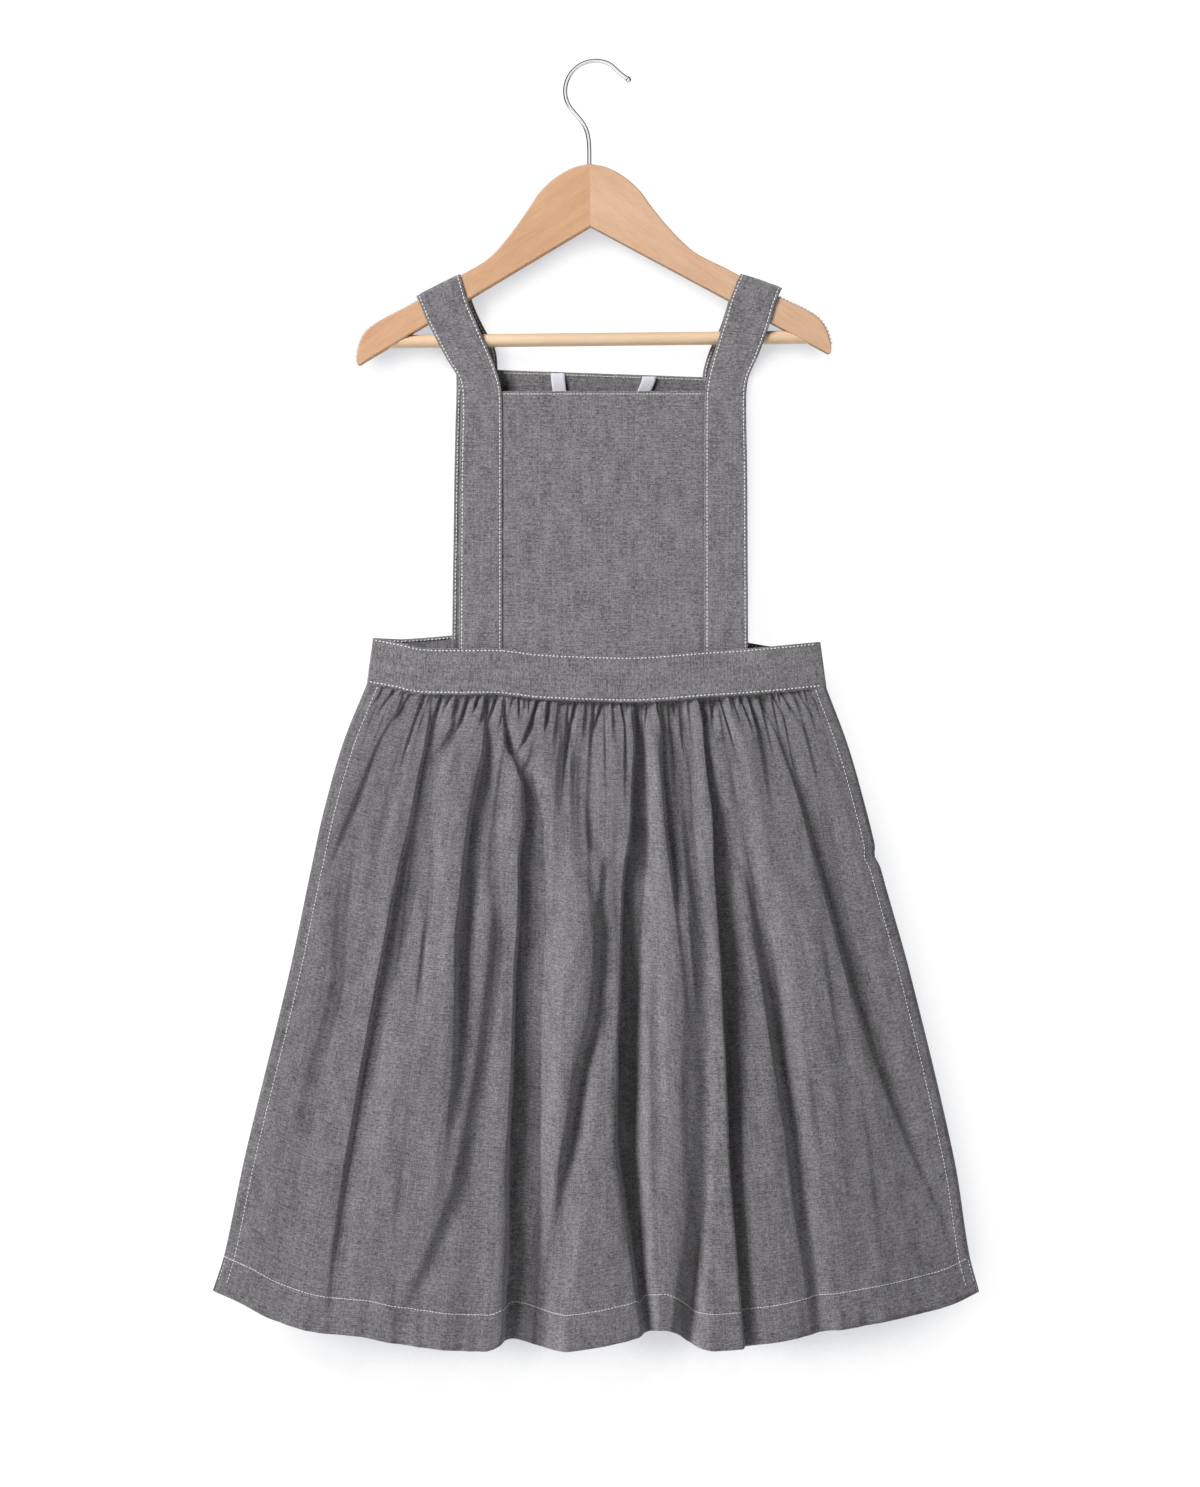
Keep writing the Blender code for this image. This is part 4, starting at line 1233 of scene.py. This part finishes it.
def strap_grid(side):
    """A strap's outer face: up the back, over its arm and down the front, seen from the top row."""
    halves = strap_half(side, True), strap_fold(side), strap_half(side, False)[::-1]
    line = evenly(np.concatenate(halves)[::-1], STRAP_GRID_ROWS)
    share = edged_shares(STRAP_WIDTH, 8)
    share = share if side > 0 else 1 - share
    grid = line[:, :1] * (1 - share)[None, :, None] + line[:, 1:] * share[None, :, None]
    across = np.broadcast_to(STRAP_WIDTH * share[None, :], grid.shape[:2])
    run = grid_lengths(grid, 0)
    from_edge = np.minimum(across, STRAP_WIDTH - across)
    out = STRAP_CROWN * (1 - (2 * across / STRAP_WIDTH - 1) ** 8) + groove(from_edge)
    out += np.abs(wave(across + 0.4 * run, run, STRAP_WAVE, 20 + side))
    out += wave(across, run, STRAP_PUCKER, 24 + side) * np.exp(-from_edge / 3.0)
    return grid + grid_normals(grid) * out[..., None]


def add_strap(side, cloth, white):
    name = f"strap_{HANDS[side]}"
    grid = strap_grid(side)
    strap = shell(f"{name}_cloth", grid, WALL, cloth)
    lines = []
    for edge in (-1, 1):
        line = part_of(side_line(grid, STITCH_INSET, edge), 2, -2)
        lines += [line, other_face(part_of(line, 0, len(line[0]) // 2 - 6))]
    sewn = stitching(f"{name}_stitches", lines, EDGE_STITCH, white, 30 + side)
    rests_on = [f"hanger_arm_{HANDS[side]}_wood"]
    finish_sheet(strap, name, *STRAP_CUT, "hung", [sewn], rests_on=rests_on)


def bib_grid(side):
    """A bib's outer face. side is 1 for the front and -1 for the back."""
    front = side > 0
    raised, lean = (0.0, 0.0) if front else (BACK_RAISE, BACK_LEAN)
    high = BIB_TOP - BIB_BOTTOM
    down, seen = np.meshgrid(edged_shares(high, 80), np.linspace(-1, 1, 96), indexing="ij")
    x = BIB_HALF_WIDTH * seen * side
    bottom = BIB_BOTTOM + raised
    top = BIB_TOP + raised - lean * x
    z = top + (bottom - top) * down
    flat = STRAP_EDGES[0][0]
    middle = np.maximum(0.0, 1 - (x / flat) ** 2)
    uneven = wave(x + 0.5 * z, z, BIB_BROAD, 40 + side) + wave(x - 0.4 * z, z, BIB_FINE, 45 + side)
    out = uneven * np.minimum(1.0, 3 * middle) + BIB_LIFT + groove(high * down)
    y = BIB_Y + BIB_BOW * middle * ease((down - 0.7) / 0.3)
    y = y + out * np.clip((flat - np.abs(x)) / 1.5, 0.0, 1.0)
    shift = 0.0 if front else back_shift(z)
    return np.stack([BIB_X + shift + x, -side * y, z], axis=-1)


def add_bib(side, cloth, white):
    name = f"{FACES[side]}_bib"
    grid = bib_grid(side)
    bib = shell(f"{name}_cloth", grid, WALL, cloth)
    points, normals = end_line(grid, STITCH_INSET, -1)
    shown = np.abs(points[:, 0] - BIB_X) < STRAP_EDGES[0][0] + 4.0
    line = (points[shown], normals[shown])
    lines = [line, other_face(line)]
    sewn = stitching(f"{name}_stitches", lines, HEM_STITCH, white, 50 + side)
    finish_sheet(bib, name, 2 * BIB_HALF_WIDTH, BIB_TOP - BIB_BOTTOM, "hung", [sewn])


def band_grid(side):
    """A waistband's outer face."""
    high = BAND_TOP - BAND_BOTTOM
    down, seen = np.meshgrid(edged_shares(high, 9), np.linspace(-1, 1, 250), indexing="ij")
    t = seen * side
    x = WAIST_X + (BAND_TOP_HALF + (BAND_BOTTOM_HALF - BAND_TOP_HALF) * down) * t
    z = BAND_TOP + (BAND_BOTTOM - BAND_TOP) * down + band_lift(t, side)
    depth = SEAM_Y + BAND_BULGE * (1 - np.abs(t) ** BAND_SQUARE)
    from_edge = high * np.minimum(down, 1 - down)
    pucker = wave(x + 0.6 * z, z, BAND_PUCKER, 60 + side)
    out = pucker * (0.25 + 0.75 * np.exp(-from_edge / 6.0))
    out = out + wave(x - 0.7 * z, z, BAND_WAVE, 64 + side)
    out = out + BAND_SWELL * (1 - (2 * down - 1) ** 4) + groove(from_edge + 0.5) + 0.3
    y = depth + out * (1 - np.abs(t) ** 8)
    return np.stack([x, -side * y, z], axis=-1)


def add_waistband(side, cloth, white):
    name = f"waistband_{FACES[side]}"
    grid = band_grid(side)
    band = shell(f"{name}_cloth", grid, WALL, cloth, turned=True)
    lines = []
    for end in (-1, 1):
        line = part_of(end_line(grid, WAIST_INSET, end), 1, -1)
        lines += [line, other_face(line)]
    sewn = stitching(f"{name}_stitches", lines, WAIST_STITCH, white, 70 + side)
    width = BAND_TOP_HALF + BAND_BOTTOM_HALF
    finish_sheet(band, name, width, BAND_TOP - BAND_BOTTOM, "hung", [sewn])


def add_tape(look):
    """The white tape loop, whose right end is a little twisted."""
    top = BIB_TOP + BACK_RAISE - 1.0
    middle, half = (TAPE_LEFT + TAPE_RIGHT) / 2, (TAPE_RIGHT - TAPE_LEFT) / 2
    down, across = np.meshgrid(np.linspace(0, 1, 90), np.linspace(0, 1, 9), indexing="ij")
    angle = math.pi * (1 - down)
    sine, cosine = np.sin(angle), np.cos(angle)
    width = TAPE_WIDTH * (0.5 - across)
    at_ends = np.exp(-((sine / 0.3) ** 2))
    top = top - BACK_LEAN * (middle + half * cosine - BIB_X) * at_ends
    z = top - (TAPE_DROP + width) * sine**0.9
    fallen = ease((top - z) / 18.0)
    x = middle + (half + width) * np.sign(cosine) * np.abs(cosine) ** 0.7
    x = x - np.where(cosine > 0, TAPE_IN[1] * fallen, -TAPE_IN[-1] * fallen)
    high, place, long = TAPE_TWIST
    twist = high * np.exp(-(((down - place) / long) ** 2))
    y = TAPE_Y - TAPE_WALL - 0.9 + twist * (0.5 - across) * 2 + 0.25 * np.sin(9 * down)
    tape = shell("hanging_loop_tape", np.stack([x, y, z], axis=-1), TAPE_WALL, look)
    finish_sheet(tape, "hanging_loop", *TAPE_CUT, "hung", [], "tape")


# ------------------------------------------------------------ the hanger


def hanger_point(x, z):
    """A point of the untilted hanger, measured from its apex, in the tilted one."""
    return (
        APEX[0] + x * math.cos(TILT) - z * math.sin(TILT),
        APEX[1] + x * math.sin(TILT) + z * math.cos(TILT),
    )


def arm_top(x):
    """The arms' upper edge at a place x from the hanger's middle, before the tilt."""
    return float(read_table(ARM_TOP_EDGE, abs(x))[0 if x < 0 else 1])


def arm_rows(side, start=0.0):
    """One arm's upper edge, from a distance from the middle outwards."""
    return [(row[0], row[1 if side < 0 else 2]) for row in ARM_TOP_EDGE if row[0] >= start]


def arms_outline():
    """The outline of both arms together, going round, with rounded lower corners."""
    outline = []
    tip_x, tip_z = ARM_TIP
    corner = (tip_x + ARM_CORNER[0], tip_z + ARM_CORNER[1])
    for side in (1, -1):
        rows = arm_rows(side)
        edge = curve_through(rows, 7).tolist()
        tip = curve_through((rows[-1], corner, ARM_TIP, (tip_x - 3.0, tip_z + 1.7)), 4)
        under = [(x, x * tip_z / tip_x) for x in np.linspace(170.0, 4.0, 40)]
        arm = [(side * x, z) for x, z in edge + tip[1:].tolist() + under]
        outline += arm + [(0.0, 0.0)] if side > 0 else arm[1:][::-1]
    return np.array([hanger_point(x, z) for x, z in outline])


def arm_rings(outline):
    """The outline at steps from the front face to the back one, drawn in at the rounded edges."""
    ahead = unit(np.roll(outline, -1, axis=0) - outline)
    behind = unit(outline - np.roll(outline, 1, axis=0))
    along = unit(ahead + behind)
    inward = np.stack([along[:, 1], -along[:, 0]], axis=1)
    face = -ARM_THICK / 2
    profile = [(ARM_ROUNDING + 0.8, face)]
    for a in np.linspace(0, math.pi / 2, 6):
        profile.append((ARM_ROUNDING * (1 - math.sin(a)), face + ARM_ROUNDING * (1 - math.cos(a))))
    profile += [(inset, -y) for inset, y in reversed(profile)]
    tips = [hanger_point(side * ARM_TIP[0], ARM_TIP[1]) for side in (-1, 1)]
    to_tip = np.min([np.linalg.norm(outline - np.array(tip), axis=1) for tip in tips], axis=0)
    keep = (0.22 + 0.78 * ease(to_tip / 16.0))[:, None]
    return [np.insert(outline + inward * keep * inset, 1, y, axis=1) for inset, y in profile]


def keep_half(arm, side):
    """Cuts the plate of both arms at the hanger's middle, keeps one arm and closes the cut."""
    work = bmesh.new()
    work.from_mesh(arm.data)
    cut_at = Vector((APEX[0], 0.0, APEX[1])) * MM + Vector((side * JOINT_GAP * MM, 0.0, 0.0))
    normal = Vector((math.cos(TILT), 0.0, math.sin(TILT))) * -side
    everything = work.verts[:] + work.edges[:] + work.faces[:]
    cut = bmesh.ops.bisect_plane(
        work, geom=everything, plane_co=cut_at, plane_no=normal, clear_outer=True
    )
    rim = [e for e in cut["geom_cut"] if isinstance(e, bmesh.types.BMEdge)]
    bmesh.ops.holes_fill(work, edges=rim, sides=0)
    work.to_mesh(arm.data)
    work.free()


def add_arms(looks):
    """The two arms: one rounded plate, parted at the hanger's middle."""
    outline = arms_outline()
    rings = arm_rings(outline)
    for side, hand in HANDS.items():
        name = f"hanger_arm_{hand}"
        faces = tube_faces(len(rings), len(outline))
        arm = to_object(f"{name}_wood", np.concatenate(rings), faces, looks[side])
        mend_normals(arm)
        keep_half(arm, side)
        arm.data.set_sharp_from_angle(angle=math.radians(50))
        stand_for(arm, name)


def add_bar(look):
    """The round bar, its ends cut to lie along the arms' undersides."""
    sides, rings = 48, 60
    slope = (BAR_RIGHT_Z - BAR_LEFT_Z) / (2 * BAR_END_X)
    middle_z = (BAR_RIGHT_Z + BAR_LEFT_Z) / 2
    turns = 2 * np.pi * np.arange(sides) / sides
    y, up = BAR_RADIUS * np.cos(turns), BAR_RADIUS * np.sin(turns)
    ends = []
    for side in (-1, 1):
        under_x, under_z = hanger_point(side * ARM_TIP[0], ARM_TIP[1])
        fall = (under_z - APEX[1]) / (under_x - APEX[0])
        ends.append((middle_z - GAP + up - APEX[1] + fall * APEX[0] + BAR_GAP) / (fall - slope))
    rows = []
    for share in np.linspace(0, 1, rings):
        x = ends[0] * (1 - share) + ends[1] * share
        rows.append(np.stack([x, y, middle_z + slope * x + up], axis=1))
    bar = to_object("hanger_bar_wood", np.concatenate(rows), tube_faces(rings, sides), look)
    mend_normals(bar)
    bar.data.set_sharp_from_angle(angle=math.radians(40))
    stand_for(bar, "hanger_bar")


def mend_normals(obj):
    """Turns a closed mesh's faces outward."""
    work = bmesh.new()
    work.from_mesh(obj.data)
    bmesh.ops.recalc_face_normals(work, faces=work.faces)
    work.to_mesh(obj.data)
    work.free()


def hook_line():
    """The wire's middle line from the ball at its tip to its end in the wood: x, z and radius."""
    tip, tip_out = HOOK_ARC[0]
    line = []
    for along in np.linspace(-0.98, 0.62, 12):
        angle = tip + math.degrees(along * HOOK_BALL / tip_out)
        line.append((angle, tip_out, HOOK_BALL * math.sqrt(1 - along**2)))
    for angle in np.linspace(tip + 4.0, HOOK_ARC[-1][0], 90):
        line.append((angle, float(read_table(HOOK_ARC, angle)[0]), WIRE_RADIUS))
    points = []
    for angle, out, radius in line:
        x = out * math.cos(math.radians(angle))
        z = HOOK_CENTRE_Z + out * math.sin(math.radians(angle))
        points.append((x, z, radius))
    neck = curve_through((points[-1][:2], *HOOK_NECK, (SHANK_X, SHANK_BEND)), 9)[1:]
    points += [(x, z, WIRE_RADIUS) for x, z in neck]
    return points + [(SHANK_X, SHANK_DEPTH, WIRE_RADIUS)]


def add_hook(look):
    points = hook_line()
    curve = bpy.data.curves.new("hook", "CURVE")
    curve.dimensions = "3D"
    curve.bevel_depth = WIRE_RADIUS * MM
    curve.bevel_resolution = 8
    curve.use_fill_caps = True
    spline = curve.splines.new("POLY")
    spline.points.add(len(points) - 1)
    for point, (x, z, radius) in zip(spline.points, points):
        point.co = (x * MM, 0.0, z * MM, 1.0)
        point.radius = radius / WIRE_RADIUS
    curve.materials.append(look)
    hook = bpy.data.objects.new("hanger_hook_wire", curve)
    bpy.context.scene.collection.objects.link(hook)
    stand_for(hook, "hanger_hook")


def nub(side, here, along):
    """The points of one nub, as rings going up from the wood."""
    out = np.array((-along[1], along[0]))
    points = []
    for wide, high in NUB_RINGS:
        for a in 2 * np.pi * np.arange(NUB_SIDES) / NUB_SIDES:
            flat = here + along * wide * math.cos(a) + out * high
            x, z = hanger_point(side * flat[0], flat[1])
            points.append((x, GRIP_WIDTH / 2 * wide / NUB_RINGS[0][0] * math.sin(a), z))
    return points


def add_grips(look):
    """The clear strips with their nubs, along the arms' outer upper edges."""
    for side, hand in HANDS.items():
        edge = curve_through(arm_rows(side, GRIP_FROM), 12)
        run = line_lengths(edge)
        points, faces = [], []
        for at in np.arange(GRIP_MARGIN, run[-1] - GRIP_MARGIN, GRIP_PITCH):
            here = taken_at(at, run, edge)
            points += nub(side, here, unit(taken_at(at + 0.5, run, edge) - here))
            for level in range(len(NUB_RINGS), 1, -1):
                first = len(points) - level * NUB_SIDES
                for n in range(NUB_SIDES):
                    m = (n + 1) % NUB_SIDES
                    upper = first + NUB_SIDES
                    faces.append((first + n, first + m, upper + m, upper + n))
        grip = to_object(f"grip_strip_{hand}_clear", points, faces, look)
        mend_normals(grip)
        stand_for(grip, f"grip_strip_{hand}")


# ------------------------------------------------------------ the stage


def add_stage():
    """A pale floor and a glowing backdrop with painted shade, which stops no light and can't be seen
    from behind.
    """
    rows = [[(x, y, z) for x in (-BACKDROP_HALF, BACKDROP_HALF)] for z, y in smooth_backdrop()]
    points = np.array(rows).reshape(-1, 3) / MM
    backdrop = to_object("backdrop", points, grid_faces(len(rows), 2), backdrop_with_painted_shade())
    for ray in ("diffuse", "glossy", "transmission", "shadow", "volume_scatter"):
        setattr(backdrop, f"visible_{ray}", False)
    bpy.ops.mesh.primitive_plane_add(size=8.0, location=(0.0, 0.0, FLOOR_Z))
    floor = bpy.context.object
    floor.name = "floor"
    nodes = material_nodes("stage_white")
    nodes.set(base_color=(0.9, 0.9, 0.9, 1.0), roughness=0.9, specular_ior_level=0.1)
    floor.data.materials.append(nodes.owner)


def smooth_backdrop():
    heights = np.linspace(BACKDROP[0][0], BACKDROP[-1][0], 60)
    rows = [(-z, y) for z, y in BACKDROP]
    return [(z, float(read_table(rows, -z)[0])) for z in heights]


def backdrop_with_painted_shade():
    """A white backdrop from the front, which glows, and nothing from behind. Its glow carries painted
    shade: it is darker close to what hides it from the upper left, and that painted shade reaches
    further low down."""
    nodes = material_nodes("backdrop_white_painted_shade")
    nodes.set(base_color=(0.10, 0.10, 0.10, 1.0), roughness=0.95, specular_ior_level=0.0)
    geometry = nodes.add("ShaderNodeNewGeometry")
    hidden = nodes.add("ShaderNodeAmbientOcclusion", samples=16)
    reach = nodes.spread(nodes.axis(geometry.outputs["Position"], "Z"), *SHADE_REACH)
    nodes.link(reach, hidden.inputs["Distance"])
    towards = nodes.add("ShaderNodeCombineXYZ")
    for axis, value in zip("XYZ", SHADE_FROM):
        towards.inputs[axis].default_value = value
    nodes.link(towards.outputs["Vector"], hidden.inputs["Normal"])
    # painted shadow: the glow's colour, darker where something close by hides the backdrop
    painted_shade = nodes.ramp(hidden.outputs["AO"], *SHADE)
    nodes.link(painted_shade, nodes.shader.inputs["Emission Color"])
    nodes.set(emission_strength=1.0)
    clear = nodes.add("ShaderNodeBsdfTransparent").outputs["BSDF"]
    shown = nodes.mixed_shaders(geometry.outputs["Backfacing"], nodes.shader.outputs["BSDF"], clear)
    nodes.link(shown, nodes.tree.nodes["Material Output"].inputs["Surface"])
    return nodes.owner


def add_light(name, at, size, power):
    """A soft square light. Reflections show the studio's white front instead of it."""
    light = bpy.data.lights.new(name, "AREA")
    light.size = size
    light.energy = power
    obj = bpy.data.objects.new(name, light)
    obj.location = at
    obj.rotation_euler = (Vector(LIGHTS_AT) - Vector(at)).to_track_quat("-Z", "Y").to_euler()
    obj.visible_glossy = False
    bpy.context.scene.collection.objects.link(obj)


def add_world():
    """White to the camera. Reflections show a studio that is white in front and dark behind, and
    everything else gets a weak, even light."""
    world = bpy.data.worlds.new("studio")
    bpy.context.scene.world = world
    nodes = Nodes(world, "Background")

    def background(strength):
        node = nodes.add("ShaderNodeBackground")
        node.inputs["Color"].default_value = (1.0, 1.0, 1.0, 1.0)
        if isinstance(strength, float):
            node.inputs["Strength"].default_value = strength
        else:
            nodes.link(strength, node.inputs["Strength"])
        return node.outputs["Background"]

    direction = nodes.add("ShaderNodeTexCoord").outputs["Generated"]
    studio = nodes.spread(nodes.axis(direction, "Y"), *STUDIO_FRONT)
    path = nodes.add("ShaderNodeLightPath").outputs
    lit = nodes.mixed_shaders(path["Is Glossy Ray"], background(EVEN_LIGHT), background(studio))
    shown = nodes.mixed_shaders(path["Is Camera Ray"], lit, background(1.0))
    nodes.link(shown, nodes.tree.nodes["World Output"].inputs["Surface"])


def add_camera_and_lights():
    camera = bpy.data.cameras.new("camera")
    camera.lens = CAMERA_LENS
    obj = bpy.data.objects.new("camera", camera)
    obj.location = CAMERA_AT
    obj.rotation_euler = (math.radians(90), 0.0, 0.0)
    bpy.context.scene.collection.objects.link(obj)
    bpy.context.scene.camera = obj
    for light in LIGHTS:
        add_light(*light)
    bpy.context.scene.view_settings.view_transform = "Standard"


def main():
    add_camera_and_lights()
    add_world()
    add_stage()
    cloth = chambray("chambray", *CHAMBRAY)
    # the skirt's cloth is the darker copy: painted shade
    shaded_cloth = chambray("shaded_chambray", *SHADED_CHAMBRAY)
    white = thread()
    add_arms({-1: wood("beech_left", *LEFT_BEECH), 1: wood("beech_right", *RIGHT_BEECH)})
    add_bar(wood("pale_dowel", *PALE_WOOD))
    add_hook(chrome())
    add_grips(clear_plastic())
    for side in (1, -1):
        add_skirt(side, shaded_cloth, white)
        add_waistband(side, cloth, white)
        add_bib(side, cloth, white)
        add_strap(side, cloth, white)
    add_tape(twill_tape())


main()
